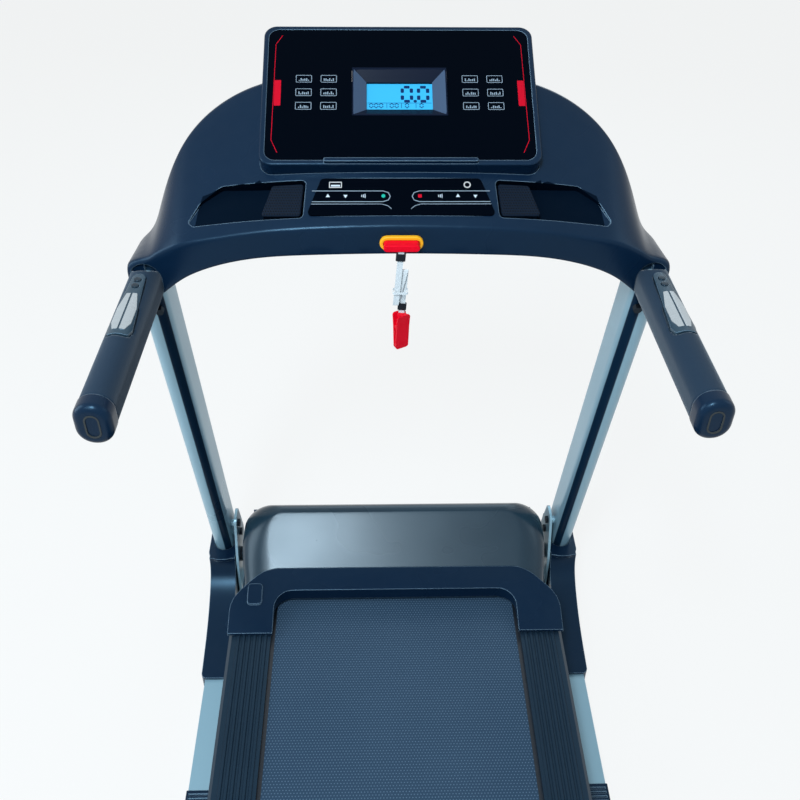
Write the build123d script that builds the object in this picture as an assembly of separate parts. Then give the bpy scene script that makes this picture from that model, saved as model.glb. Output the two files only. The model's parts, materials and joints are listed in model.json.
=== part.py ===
from build123d import *
import math
import os

# Frame: origin on the floor under the middle of the machine, X to the runner's right, Y forward, Z up.
# All sizes are in millimetres. Y values below count from the middle of the running space; each piece is
# moved by MIDDLE_Y when it is written, so that the origin lies under the middle of the whole length.

# Clearances
RUN_CLEAR = 0.05
FIT_CLEAR = 0.3

# Ends of the machine: noses of the boot covers and rear end caps
FRONT_END = 658.0
REAR_END = -850.0
MIDDLE_Y = (FRONT_END + REAR_END) / 2

# Running belt and rollers
BELT_WIDTH = 450.0
BELT_THICK = 2.0
BELT_TOP = 175.0
ROLLER_RADIUS = 24.0
ROLLER_HALF = 228.0
FRONT_ROLLER_Y = 450.0
REAR_ROLLER_Y = -800.0
AXLE_RADIUS = 8.0
TENSION_X = 256.0
ROLLER_Z = BELT_TOP - BELT_THICK - FIT_CLEAR - ROLLER_RADIUS

# Running board and deck frame
BOARD_THICK = 18.0
BOARD_HALF = 285.0
BOARD_REAR = -768.0
BOARD_FRONT = 400.0
BOARD_TOP = BELT_TOP - BELT_THICK - FIT_CLEAR
CUSHION_THICK = 7.0
SIDE_TUBE_IN = 262.0
SIDE_TUBE_OUT = 292.0
SIDE_TUBE_TALL = 56.0
SIDE_TUBE_TOP = BOARD_TOP - BOARD_THICK - CUSHION_THICK
SIDE_TUBE_LOW = SIDE_TUBE_TOP - SIDE_TUBE_TALL
SIDE_TUBE_FRONT = 640.0
SIDE_TUBE_REAR = -834.0
TUBE_WALL = 2.0
CROSS_TALL = 25.0
CROSS_DEEP = 40.0

# Foot rails
RAIL_IN = 232.0
RAIL_OUT = 310.0
RAIL_TOP = 184.0
RAIL_LOW = 112.0
RAIL_WALL = 3.2
RAIL_FRONT = 340.0
RAIL_REAR = -786.0
RIB_COUNT = 6
RIB_HEIGHT = 2.0

# Fold pivot
PIVOT_Y = 556.0
PIVOT_Z = 130.0
PIVOT_RADIUS = 6.0
BOSS_RADIUS = 15.0
FOLD_ANGLE = 65.0

# Floor frame and uprights
POST_X = 348.0
POST_WIDE = 40.0
POST_DEEP = 80.0
POST_LEAN = 15.0
POST_Y = 580.0
POST_TOP = 914.0
CONSOLE_BOLT_Z = 899.0
BASE_LOW = 12.0
BASE_TALL = 40.0
BASE_CROSS_DEEP = 40.0
BASE_REAR = 78.0
BASE_FRONT = 650.0
FRONT_CROSS_Y = 590.0
FRONT_CROSS_TALL = 10.0
MID_CROSS_Y = 450.0
BASE_TOP = BASE_LOW + BASE_TALL
POST_IN = POST_X - POST_WIDE / 2
POST_OUT = POST_X + POST_WIDE / 2
BRACKET_IN = 316.0
BRACKET_OUT = 321.0
BRACKET_BOLT_Y = 571.0
BRACKET_BOLT_Z = 182.0
BRACKET_BOLT_STEP = 36.0

# Boot covers
BOOT_IN = 323.5
BOOT_OUT = 375.0
BOOT_TOP = 158.0
BOOT_TOE = 304.0
BOOT_WALL = 3.0

# Gas spring
SPRING_Z = 71.0
SPRING_FRONT_Y = MID_CROSS_Y
SPRING_REAR_Y = 10.0
CROSS_YS = (-600.0, -300.0, SPRING_REAR_Y, 330.0)
SPRING_RADIUS = 10.0
SPRING_ROD_RADIUS = 4.0

# Motor hood and trim
HOOD_HALF = 300.0
HOOD_WALL = 3.0
HOOD_LOW = 158.0
HOOD_TOP = 287.0
HOOD_FRONT = 655.0
TRIM_HALF = 312.0
TRIM_REAR = 309.0
TRIM_EDGE = 392.0
TRIM_FRONT = 437.0
TRIM_LOW = 190.0
TRIM_SLOPE = 0.25
OPENING_HALF = 229.0

# Motor and drive
MOTOR_Y = 556.0
MOTOR_Z = 166.0
MOTOR_RADIUS = 42.0
DRIVE_X = -238.0
DRIVE_WIDE = 16.0
MOTOR_PULLEY = 17.0
ROLLER_PULLEY = 42.5
INLET_X = 180.0
INLET_Z = 122.0

# Console shell
CONSOLE_HALF = 374.0
CONSOLE_WALL = 3.0
RIDGE_Y = 325.0
RIDGE_Z = 1031.0
APRON_TALL = 44.0
SLOPE = 32.0
DOME_RUN = 215.0
TRAY_DEEP = 27.0
STATIONS = (0.0, 0.32, 0.53, 0.68, 0.79, 0.85, 0.893, 0.941, 0.984, 1.0)

# Display
DISPLAY_TILT = 28.0
DISPLAY_WIDE = 376.0
DISPLAY_TALL = 234.0
DISPLAY_THICK = 30.0
DISPLAY_Y = 387.0
DISPLAY_Z = 1089.0
GLASS_MARGIN = 7.0
GLASS_THICK = 2.0
BEZEL_WIDE = 130.0
BEZEL_TALL = 81.0
BEZEL_UP = 119.5
BEZEL_DEEP = 9.0
LCD_WIDE = 91.0
LCD_TALL = 46.0

# Handles
GRIP_X = 348.0
GRIP_FLARE = 12.0
GRIP_Y = 344.0
GRIP_Z = 936.0
GRIP_LENGTH = 274.0
GRIP_WIDE = 44.0
GRIP_TALL = 58.0
GRIP_TUBE = 15.0
SADDLE_HALF = 12.0
SADDLE_REAR = 362.0
SADDLE_FRONT = 392.0
CAP_LENGTH = 24.0
PULSE_START = 28.0
PULSE_LENGTH = 132.0
PULSE_PROUD = 1.6
PLATE_THICK = 0.9
KEY_RADIUS = 5.0
KEY_TRAVEL = 1.2

# Safety key, lanyard and clip
KEY_Z = RIDGE_Z - 23.0
SOCKET_WIDE = 58.0
SOCKET_TALL = 21.0
SOCKET_PROUD = 5.0
TAPE_WIDE = 8.0
TAPE_THICK = 1.2
TAPE_STEP = 4.0
TAPE_Y = 310.0
CLIP_WIDE = 20.0
CLIP_TALL = 58.0
CLIP_TOP = 899.0
CLIP_PIVOT = 20.0
CLIP_TURN = 28.0

# Transport wheels
WHEEL_RADIUS = 22.0
WHEEL_WIDE = 16.0
WHEEL_X = 311.5
WHEEL_Y = 634.0
WHEEL_Z = 24.0


def block(x0, x1, y0, y1, z0, z1):
    """Box between two corners."""
    middle = Pos((x0 + x1) / 2, (y0 + y1) / 2, (z0 + z1) / 2)
    return middle * Box(x1 - x0, y1 - y0, z1 - z0)


def rod_x(radius, x0, x1, y, z):
    """Round bar along X."""
    return Pos((x0 + x1) / 2, y, z) * Rot(0, 90, 0) * Cylinder(radius, x1 - x0)


def rod_y(radius, y0, y1, x, z):
    """Round bar along Y."""
    return Pos(x, (y0 + y1) / 2, z) * Rot(90, 0, 0) * Cylinder(radius, y1 - y0)


def polygon(points):
    """Closed straight-sided face."""
    return make_face(Polyline(points, close=True))


def soft_polygon(points, radii):
    """Closed face with one corner radius per point."""
    return make_face(FilletPolyline(points, radius=radii, close=True))


def side_prism(face, x0, x1):
    """Extrude a face drawn in Y and Z between two X planes."""
    return extrude(Plane.YZ.offset(x0) * face, amount=x1 - x0)


def plan_prism(face, z0, z1):
    """Extrude a face drawn in X and Y between two heights."""
    return extrude(Plane.XY.offset(z0) * face, amount=z1 - z0)


def front_prism(face, y0, y1):
    """Extrude a face drawn in X and Z between two Y planes."""
    return extrude(Plane.XZ.offset(-y1) * face, amount=y1 - y0)


def other_side(shape):
    """Mirror image on the runner's left."""
    return mirror(shape, about=Plane.YZ)


def save(node, *shapes):
    """Write one node from one or more solids."""
    solids = [solid for shape in shapes for solid in shape.solids()]
    solids = [Pos(0, -MIDDLE_Y, 0) * solid for solid in solids]
    whole = solids[0] if len(solids) == 1 else Compound(solids)
    export_step(whole, f"parts/{node}.step")


def turned(y, z, angle):
    """Where a deck point in Y and Z goes when the deck folds up by an angle."""
    turn = math.radians(-angle)
    dy = y - PIVOT_Y
    dz = z - PIVOT_Z
    new_y = PIVOT_Y + dy * math.cos(turn) - dz * math.sin(turn)
    new_z = PIVOT_Z + dy * math.sin(turn) + dz * math.cos(turn)
    return new_y, new_z


def spring_travel():
    """Gas spring closed length, stroke and swing over the whole fold."""
    end_y, end_z = turned(SPRING_REAR_Y, SPRING_Z, FOLD_ANGLE)
    closed = SPRING_FRONT_Y - SPRING_REAR_Y
    reach = math.hypot(end_y - SPRING_FRONT_Y, end_z - SPRING_Z)
    swing = 180.0 - math.degrees(math.atan2(end_z - SPRING_Z, end_y - SPRING_FRONT_Y))
    return closed, reach - closed, swing


def box_tube(x0, x1, y0, y1, z0, z1, along):
    """Rectangular tube, open at both ends of one axis."""
    inset = TUBE_WALL
    cut_x = 0 if along == "x" else inset
    cut_y = 0 if along == "y" else inset
    outer = block(x0, x1, y0, y1, z0, z1)
    inner = block(x0 + cut_x, x1 - cut_x, y0 + cut_y, y1 - cut_y, z0 + inset, z1 - inset)
    return outer - inner


def base_tube():
    """Right floor tube."""
    return box_tube(POST_IN, POST_OUT, BASE_REAR, BASE_FRONT, BASE_LOW, BASE_TOP, "y")


def base_cross(y, half, tall):
    """Cross tube between the floor tubes."""
    deep = BASE_CROSS_DEEP / 2
    return box_tube(-half, half, y - deep, y + deep, BASE_LOW, BASE_LOW + tall, "x")


def mid_cross():
    """Middle cross tube with the two lugs that hold the gas spring."""
    lug_face = soft_polygon([(-16, 0), (16, 0), (11, 31), (-11, 31)], [1, 1, 10, 10])
    lug_face = lug_face - Pos(0, SPRING_Z - BASE_TOP) * Circle(5 + FIT_CLEAR)
    placed = Pos(MID_CROSS_Y, BASE_TOP) * lug_face
    lugs = side_prism(placed, 11, 15) + side_prism(placed, -15, -11)
    return base_cross(MID_CROSS_Y, POST_IN, BASE_TALL) + lugs


def rear_cap():
    """Ribbed rear cap of the right floor tube with its foot."""
    low = BASE_LOW - 2
    body = block(POST_IN - 3, POST_OUT + 3, 30, BASE_REAR, low, BASE_TOP + 3)
    body = fillet(body.edges().filter_by(Axis.X).group_by(Axis.Y)[0], 12)
    body = fillet(body.edges().filter_by(Axis.Y), 3)
    for row in range(4):
        groove_y = 44 + row * 8
        body = body - block(POST_IN + 2, POST_OUT - 2, groove_y, groove_y + 3.5, BASE_TOP + 1.5, BASE_TOP + 6)
    foot = Pos(POST_X, 55, low / 2) * Cylinder(17, low)
    return body + foot


def front_cap():
    """Front plug of the right floor tube."""
    cap = block(POST_IN, POST_OUT, BASE_FRONT, BASE_FRONT + 3, BASE_LOW, BASE_TOP)
    cap = fillet(cap.edges().filter_by(Axis.Y), 3)
    gap = TUBE_WALL + FIT_CLEAR
    plug = block(POST_IN + gap, POST_OUT - gap, BASE_FRONT - 12, BASE_FRONT, BASE_LOW + gap, BASE_TOP - gap)
    return cap + plug


def front_foot():
    """Rubber foot under the front of the right floor tube."""
    foot = Pos(POST_X, BASE_FRONT - 40, BASE_LOW / 2) * Box(34, 54, BASE_LOW)
    return fillet(foot.edges().filter_by(Axis.Z), 10)


def transport_wheel():
    """Right transport wheel with a rounded tread and a hub."""
    half = WHEEL_WIDE / 2
    profile = soft_polygon(
        [(5 + RUN_CLEAR, -half), (10, -half), (11, -half + 3), (15, -half + 3), (16, -half),
         (WHEEL_RADIUS, -half), (WHEEL_RADIUS, half), (16, half), (15, half - 3), (11, half - 3),
         (10, half), (5 + RUN_CLEAR, half)],
        [0.5, 1, 0.5, 0.5, 1, 4, 4, 1, 0.5, 0.5, 1, 0.5],
    )
    wheel = revolve(Plane.XZ * profile, axis=Axis.Z)
    return Pos(WHEEL_X, WHEEL_Y, WHEEL_Z) * Rot(0, 90, 0) * wheel


def wheel_axle():
    """Axle bolt that carries the right transport wheel on the inner face of the floor tube."""
    inner = WHEEL_X - WHEEL_WIDE / 2 - FIT_CLEAR
    outer = WHEEL_X + WHEEL_WIDE / 2 + FIT_CLEAR
    shaft = rod_x(5, inner, POST_IN, WHEEL_Y, WHEEL_Z)
    head = rod_x(8, inner - 3, inner, WHEEL_Y, WHEEL_Z)
    spacer = rod_x(8, outer, POST_IN, WHEEL_Y, WHEEL_Z)
    return shaft + head + spacer


def post_plane(z):
    """Plane across the right upright where its axis is at a given height."""
    lean = math.radians(POST_LEAN)
    y = POST_Y - (z - BELT_TOP) * math.tan(lean)
    across = (0, math.cos(lean), math.sin(lean))
    along = (0, -math.sin(lean), math.cos(lean))
    return Plane(origin=(POST_X, y, z), x_dir=across, z_dir=along)


def post_solid(grow):
    """Solid flat-oval bar on the axis of the right upright."""
    face = SlotOverall(POST_DEEP + 2 * grow, POST_WIDE + 2 * grow)
    return extrude(post_plane(BELT_TOP) * face, amount=900, both=True)


def bracket_bolt_places():
    """Places of the two bracket bolts, one above the other along the upright."""
    lean = math.tan(math.radians(POST_LEAN))
    return [(BRACKET_BOLT_Y - rise * lean, BRACKET_BOLT_Z + rise) for rise in (0.0, BRACKET_BOLT_STEP)]


def upright():
    """Right upright, a flat-oval tube standing on the floor tube."""
    tube = post_solid(0) - post_solid(-TUBE_WALL)
    limits = block(0, 500, 0, 900, BASE_TOP, POST_TOP)
    tube = tube & limits
    for y, z in bracket_bolt_places():
        tube = tube - rod_x(4 + FIT_CLEAR, POST_IN - 5, POST_IN + 8, y, z)
    return tube


def pivot_bracket():
    """Right fold bracket: a plate bolted to the upright and welded to the floor tube."""
    outline = soft_polygon(
        [(508, BASE_LOW + 2), (604, BASE_LOW + 2), (618, 150), (584, 240), (548, 240), (516, 150)],
        [6, 6, 40, 14, 14, 40],
    )
    plate = side_prism(outline, BRACKET_IN, BRACKET_OUT)
    pad = block(BRACKET_OUT, POST_IN, 516, 600, BASE_LOW + 4, BASE_TOP - 4)
    plate = plate + pad
    plate = plate - rod_x(PIVOT_RADIUS + FIT_CLEAR, 300, BRACKET_OUT + 1, PIVOT_Y, PIVOT_Z)
    for y, z in bracket_bolt_places():
        plate = plate + rod_x(8, BRACKET_OUT, POST_IN, y, z)
        plate = plate - rod_x(4 + FIT_CLEAR, 300, POST_IN + 1, y, z)
    return plate


def hex_head(x0, x1, size, y, z):
    """Hexagonal bolt head along X."""
    face = Pos(y, z) * RegularPolygon(size, 6)
    return side_prism(face, x0, x1)


def frame_bolts():
    """Right pivot pin, bracket bolts and console bolts."""
    pin = rod_x(PIVOT_RADIUS, SIDE_TUBE_OUT + 1, BRACKET_OUT, PIVOT_Y, PIVOT_Z)
    bolts = [pin + hex_head(BRACKET_OUT, BRACKET_OUT + 2.3, 9, PIVOT_Y, PIVOT_Z)]
    for y, z in bracket_bolt_places():
        shank = rod_x(4, BRACKET_IN, POST_IN + 7, y, z)
        bolts.append(shank + hex_head(BRACKET_IN - 5, BRACKET_IN, 8, y, z))
    lean_plane = post_plane(CONSOLE_BOLT_Z)
    for side in (-1, 1):
        head = Pos(side * 9, 0) * RegularPolygon(6.5, 6)
        face = Plane(
            origin=lean_plane.origin - lean_plane.x_dir * (POST_DEEP / 2),
            x_dir=(1, 0, 0),
            z_dir=-lean_plane.x_dir,
        )
        bolts.append(extrude(face * head, amount=8) - post_solid(0))
    return bolts


def boot_outline(inset):
    """Side outline of the boot cover, with the long curved toe towards the runner, shrunk by an inset."""
    top = BOOT_TOP - inset
    nose = FRONT_END - inset
    sole = 18.0 + inset
    toe = BOOT_TOE + inset
    collar_rear = 519.0 + inset
    collar_front = 636.0 - inset
    with BuildLine() as line:
        Line((collar_rear, top), (collar_front, top))
        Line((collar_front, top), (nose, 62))
        Line((nose, 62), (nose, sole))
        Line((nose, sole), (toe, sole))
        Line((toe, sole), (toe, 58 - inset))
        Spline(
            (toe, 58 - inset),
            (400 + 0.2 * inset, 72 - inset),
            (470 + 0.5 * inset, 96 - 0.9 * inset),
            (512 + 0.9 * inset, 128 - 0.5 * inset),
            (collar_rear, top),
        )
    return make_face(line.edges())


def boot_cover():
    """Right boot cover, hollow, with a collar lip round the upright."""
    outer = side_prism(boot_outline(0), BOOT_IN, BOOT_OUT)
    outer = fillet(outer.edges().filter_by(Axis.Z).sort_by(Axis.X)[-2:], 10)
    lip = plan_prism(Pos(349.3, 578) * RectangleRounded(57, 124, 22), BOOT_TOP - 7, BOOT_TOP)
    lip = lip & block(BOOT_IN - 1.5, BOOT_OUT + 3, 0, 900, 0, 400)
    hollow = side_prism(boot_outline(BOOT_WALL), BOOT_IN + BOOT_WALL, BOOT_OUT - BOOT_WALL)
    floor_run = block(POST_IN - 1, POST_OUT + 1, BOOT_TOE - 50, BASE_FRONT + 4, 0, BASE_TOP + 1)
    axle_run = rod_x(9, 300, POST_IN, WHEEL_Y, WHEEL_Z) + block(300, POST_IN, 600, WHEEL_Y + 9, 0, WHEEL_Z)
    cross_half = BASE_CROSS_DEEP / 2 + 1
    cross_run = block(300, POST_IN + 1, MID_CROSS_Y - cross_half, MID_CROSS_Y + cross_half, 0, BASE_TOP + 1)
    body = outer + lip - hollow - floor_run - axle_run - cross_run
    body = body - (post_solid(1.2) & block(0, 500, 0, 900, 60, 300))
    return body - block(300, POST_IN + 1, 500, 640, 0, BASE_TOP + 6)


def spring_barrel():
    """Gas spring barrel, hinged on the middle cross tube."""
    length = 300.0
    y0 = SPRING_FRONT_Y - length
    barrel = rod_y(SPRING_RADIUS, y0, SPRING_FRONT_Y - 16, 0, SPRING_Z)
    barrel = barrel - rod_y(SPRING_RADIUS - 2, y0 + 4, SPRING_FRONT_Y - 22, 0, SPRING_Z)
    barrel = barrel - rod_y(SPRING_ROD_RADIUS + RUN_CLEAR, y0 - 1, y0 + 6, 0, SPRING_Z)
    eye = rod_x(9, -9, 9, SPRING_FRONT_Y, SPRING_Z)
    neck = rod_y(6, SPRING_FRONT_Y - 18, SPRING_FRONT_Y - 4, 0, SPRING_Z)
    pin = rod_x(5, -18, 18, SPRING_FRONT_Y, SPRING_Z)
    heads = rod_x(8, -21, -16, SPRING_FRONT_Y, SPRING_Z) + rod_x(8, 16, 21, SPRING_FRONT_Y, SPRING_Z)
    return barrel + neck + eye + pin + heads


def spring_rod():
    """Gas spring rod with its piston and the eye at the deck end."""
    piston_y = SPRING_FRONT_Y - 40
    rod = rod_y(SPRING_ROD_RADIUS, SPRING_REAR_Y, piston_y, 0, SPRING_Z)
    piston = rod_y(SPRING_RADIUS - 2 - RUN_CLEAR, piston_y - 14, piston_y, 0, SPRING_Z)
    eye = rod_x(8.5, -9, 9, SPRING_REAR_Y, SPRING_Z)
    return rod + piston + eye


def deck_side_tube():
    """Right deck tube with the fold pivot boss."""
    tube = box_tube(
        SIDE_TUBE_IN, SIDE_TUBE_OUT, SIDE_TUBE_REAR, SIDE_TUBE_FRONT, SIDE_TUBE_LOW, SIDE_TUBE_TOP, "y"
    )
    boss = rod_x(BOSS_RADIUS, SIDE_TUBE_OUT, BRACKET_IN - FIT_CLEAR, PIVOT_Y, PIVOT_Z)
    return tube + boss - rod_x(PIVOT_RADIUS + RUN_CLEAR, SIDE_TUBE_OUT, BRACKET_IN, PIVOT_Y, PIVOT_Z)


def deck_cross_tubes():
    """Deck cross tubes below the belt, the gas spring lugs and the motor plate."""
    tubes = []
    for y in CROSS_YS:
        tube = box_tube(
            -SIDE_TUBE_IN, SIDE_TUBE_IN, y - CROSS_DEEP / 2, y + CROSS_DEEP / 2,
            SIDE_TUBE_LOW, SIDE_TUBE_LOW + CROSS_TALL, "x",
        )
        if y == SPRING_REAR_Y:
            lug_face = soft_polygon([(-14, 0), (14, 0), (10, -32), (-10, -32)], [1, 1, 9, 9])
            placed = Pos(y, SIDE_TUBE_LOW) * lug_face
            tube = tube + side_prism(placed, 11, 15) + side_prism(placed, -15, -11)
        tubes.append(tube)
    tubes.append(block(-SIDE_TUBE_IN, SIDE_TUBE_IN, 516, 636, SIDE_TUBE_LOW + 14, SIDE_TUBE_LOW + 18))
    return tubes


def running_board():
    """Board under the belt with rounded front and rear edges."""
    board = block(-BOARD_HALF, BOARD_HALF, BOARD_REAR, BOARD_FRONT, BOARD_TOP - BOARD_THICK, BOARD_TOP)
    return fillet(board.edges().filter_by(Axis.X).group_by(Axis.Z)[-1], 6)


def deck_cushions():
    """Rubber cushions between the right deck tube and the board."""
    x = (SIDE_TUBE_IN + SIDE_TUBE_OUT) / 2
    z = SIDE_TUBE_TOP + CUSHION_THICK / 2
    pads = []
    for y in (-680, -410, -140, 130, 360):
        pad = Pos(x, y, z) * Box(26, 52, CUSHION_THICK)
        pads.append(fillet(pad.edges().filter_by(Axis.Z), 8))
    return pads


def running_belt():
    """Endless belt round both rollers."""
    span = FRONT_ROLLER_Y - REAR_ROLLER_Y
    inside = 2 * (ROLLER_RADIUS + FIT_CLEAR)
    loop = SlotCenterToCenter(span, inside + 2 * BELT_THICK) - SlotCenterToCenter(span, inside)
    loop = Pos((FRONT_ROLLER_Y + REAR_ROLLER_Y) / 2, ROLLER_Z) * loop
    return side_prism(loop, -BELT_WIDTH / 2, BELT_WIDTH / 2)


def foot_rail():
    """Right foot rail with lengthwise ribs, an outer skirt and two feet on the board."""
    floor_z = RAIL_TOP - RIB_HEIGHT
    first = RAIL_IN + 6
    pitch = (RAIL_OUT - 12 - first) / RIB_COUNT
    points = [(RAIL_IN, BOARD_TOP), (RAIL_IN, floor_z)]
    for rib in range(RIB_COUNT):
        x = first + rib * pitch
        points.append((x, floor_z))
        points.append((x + 1.5, RAIL_TOP))
        points.append((x + pitch - 4.5, RAIL_TOP))
        points.append((x + pitch - 3.0, floor_z))
    under = floor_z - RAIL_WALL
    points.append((RAIL_OUT - 6, floor_z))
    points.append((RAIL_OUT, floor_z - 6))
    points.append((RAIL_OUT, RAIL_LOW))
    points.append((RAIL_OUT - RAIL_WALL, RAIL_LOW))
    points.append((RAIL_OUT - RAIL_WALL, under - 4))
    points.append((RAIL_OUT - RAIL_WALL - 4, under))
    points.append((BOARD_HALF - 2, under))
    points.append((BOARD_HALF - 2, BOARD_TOP))
    points.append((BOARD_HALF - 6, BOARD_TOP))
    points.append((BOARD_HALF - 6, under))
    points.append((RAIL_IN + RAIL_WALL, under))
    points.append((RAIL_IN + RAIL_WALL, BOARD_TOP))
    return front_prism(polygon(points), RAIL_REAR, RAIL_FRONT)


def rear_end_cap():
    """Right rear end cap, open towards the roller and the rail."""
    inner_x = BELT_WIDTH / 2 + 4
    plan = soft_polygon(
        [(inner_x, RAIL_REAR), (TRIM_HALF, RAIL_REAR), (TRIM_HALF, REAR_END), (inner_x, REAR_END)],
        [0.5, 0.5, 26, 8],
    )
    body = plan_prism(plan, SIDE_TUBE_LOW - 6, RAIL_TOP + 3)
    top_edges = body.faces().sort_by(Axis.Z)[-1].edges()
    body = fillet(top_edges.sort_by(Axis.Y)[:-1], 5)
    inside = soft_polygon(
        [(inner_x - 2, RAIL_REAR + 3), (TRIM_HALF - 3, RAIL_REAR + 3), (TRIM_HALF - 3, REAR_END + 3),
         (inner_x - 2, REAR_END + 3)],
        [0.5, 0.5, 23, 0.5],
    )
    room = plan_prism(inside, SIDE_TUBE_LOW - 3, RAIL_TOP)
    hole = rod_y(8, REAR_END - 1, REAR_END + 20, TENSION_X, ROLLER_Z)
    return body - room - hole


def rear_foot():
    """Rubber-tipped foot under the right deck tube."""
    profile = polygon([(0, 0), (22, 0), (24, 4), (24, 12), (16, 26), (14, SIDE_TUBE_LOW), (0, SIDE_TUBE_LOW)])
    foot = revolve(Plane.XZ * profile, axis=Axis.Z)
    return Pos((SIDE_TUBE_IN + SIDE_TUBE_OUT) / 2, -742, 0) * foot


def roller_body(pulley):
    """Crowned hollow roller with bearing ends, turned on its axle."""
    bore = AXLE_RADIUS + RUN_CLEAR
    wall = ROLLER_RADIUS - 3
    end = ROLLER_HALF
    profile = polygon(
        [(bore, -end), (ROLLER_RADIUS - 0.4, -end), (ROLLER_RADIUS, -end + 40), (ROLLER_RADIUS, end - 40),
         (ROLLER_RADIUS - 0.4, end), (bore, end), (bore, end - 16), (wall, end - 16), (wall, -end + 16),
         (bore, -end + 16)]
    )
    roller = revolve(Plane.XZ * profile, axis=Axis.Z)
    if pulley:
        low = DRIVE_X - DRIVE_WIDE / 2
        high = -end
        outline = [(bore, low), (ROLLER_PULLEY + 2, low), (ROLLER_PULLEY + 2, low + 1), (ROLLER_PULLEY, low + 1.5)]
        outline = outline + [(ROLLER_PULLEY, high), (bore, high)]
        roller = roller + revolve(Plane.XZ * polygon(outline), axis=Axis.Z)
    return Rot(0, 90, 0) * roller


def roller_axle(y):
    """Fixed axle of one roller between the deck tubes."""
    return rod_x(AXLE_RADIUS, -SIDE_TUBE_IN, SIDE_TUBE_IN, y, ROLLER_Z)


def tension_bolt():
    """Belt tension bolt behind the right end of the rear axle."""
    rear = REAR_END + 12
    bolt = rod_y(3.5, rear, REAR_ROLLER_Y - AXLE_RADIUS / 2, TENSION_X, ROLLER_Z)
    return bolt + rod_y(6.5, rear - 6, rear, TENSION_X, ROLLER_Z)


def hood_sections(inset, low):
    """Rounded rectangles that the hood is lofted through, rear edge sloping up to the crown."""
    rows = (
        (HOOD_LOW, 345.0, HOOD_FRONT, HOOD_HALF, 60.0),
        (222.0, TRIM_FRONT, HOOD_FRONT - 53, HOOD_HALF - 1, 60.0),
        (256.0, 482.0, HOOD_FRONT - 83, HOOD_HALF - 14, 42.0),
        (276.0, 508.0, HOOD_FRONT - 102, HOOD_HALF - 38, 22.0),
        (HOOD_TOP, 523.0, HOOD_FRONT - 118, HOOD_HALF - 75, 6.0),
    )
    faces = []
    for z, rear, front, half, corner in rows:
        height = low if z == HOOD_LOW else z - inset
        face = RectangleRounded(2 * (half - inset), front - rear - 2 * inset, corner - inset)
        faces.append(Plane.XY.offset(height) * Pos(0, (rear + front) / 2) * face)
    return faces


def trim_plan(grow):
    """Plan outline of the hood trim without its opening."""
    half = TRIM_HALF + grow
    front = TRIM_FRONT + grow
    with BuildLine() as line:
        right = Line((half, TRIM_REAR - grow), (half, TRIM_REAR + 42))
        right_bend = Spline((half, TRIM_REAR + 42), (284 + grow, 404), (222, front), tangents=((0, 1), (-1, 0)))
        top = Line((222, front), (-222, front))
        left_bend = Spline((-222, front), (-284 - grow, 404), (-half, TRIM_REAR + 42), tangents=((-1, 0), (0, -1)))
        left = Line((-half, TRIM_REAR + 42), (-half, TRIM_REAR - grow))
        rear = Line((-half, TRIM_REAR - grow), (half, TRIM_REAR - grow))
    return make_face(line.edges())


def hood_cover():
    """Motor hood, open underneath, cut away where the trim sits."""
    outer = loft(hood_sections(0, HOOD_LOW))
    inner = loft(hood_sections(HOOD_WALL, HOOD_LOW - 12))
    shell = outer - inner - plan_prism(trim_plan(FIT_CLEAR), 100, 300)
    return max(shell.solids(), key=lambda solid: solid.volume)


def hood_trim():
    """U-shaped trim over the rail ends and the belt opening, with the small moulded plug."""
    rise = (TRIM_FRONT - TRIM_REAR) * TRIM_SLOPE
    wedge = polygon(
        [(TRIM_REAR - 1, RAIL_TOP + FIT_CLEAR), (TRIM_REAR - 1, TRIM_LOW), (TRIM_FRONT + 1, TRIM_LOW + rise),
         (TRIM_FRONT + 1, TRIM_LOW + rise - 5), (TRIM_EDGE + 8, TRIM_LOW + 14), (TRIM_EDGE, RAIL_TOP + FIT_CLEAR)]
    )
    solid = side_prism(wedge, -TRIM_HALF, TRIM_HALF)
    solid = solid & plan_prism(trim_plan(0), 100, 300)
    mouth = soft_polygon(
        [(-OPENING_HALF, TRIM_REAR - 5), (OPENING_HALF, TRIM_REAR - 5), (OPENING_HALF, TRIM_EDGE),
         (-OPENING_HALF, TRIM_EDGE)],
        [0.5, 0.5, 34, 34],
    )
    solid = solid - plan_prism(mouth, 100, 300)
    plug = Pos(-266, 384) * RectangleRounded(27, 40, 6)
    plug_solid = plan_prism(plug, RAIL_TOP + 8, TRIM_LOW + 30) & side_prism(
        polygon([(340, 190), (430, 190), (430, TRIM_LOW + 33.5), (340, TRIM_LOW + 11)]), -300, -230
    )
    return solid + plug_solid


def belly_pan():
    """Tray that closes the motor bay underneath and in front, with the mains inlet opening."""
    low = SIDE_TUBE_LOW
    wall = 3.5
    front = HOOD_FRONT
    face = polygon(
        [(432, low - wall), (front - 12, low - wall), (front, low + 8), (front, HOOD_LOW - FIT_CLEAR),
         (front - wall, HOOD_LOW - FIT_CLEAR), (front - wall, low + 9.5), (front - 13, low), (432, low)]
    )
    pan = side_prism(face, -HOOD_HALF + 3, HOOD_HALF - 3)
    return pan - front_prism(Pos(INLET_X, INLET_Z) * Rectangle(64, 32), front - 20, front + 5)


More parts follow.
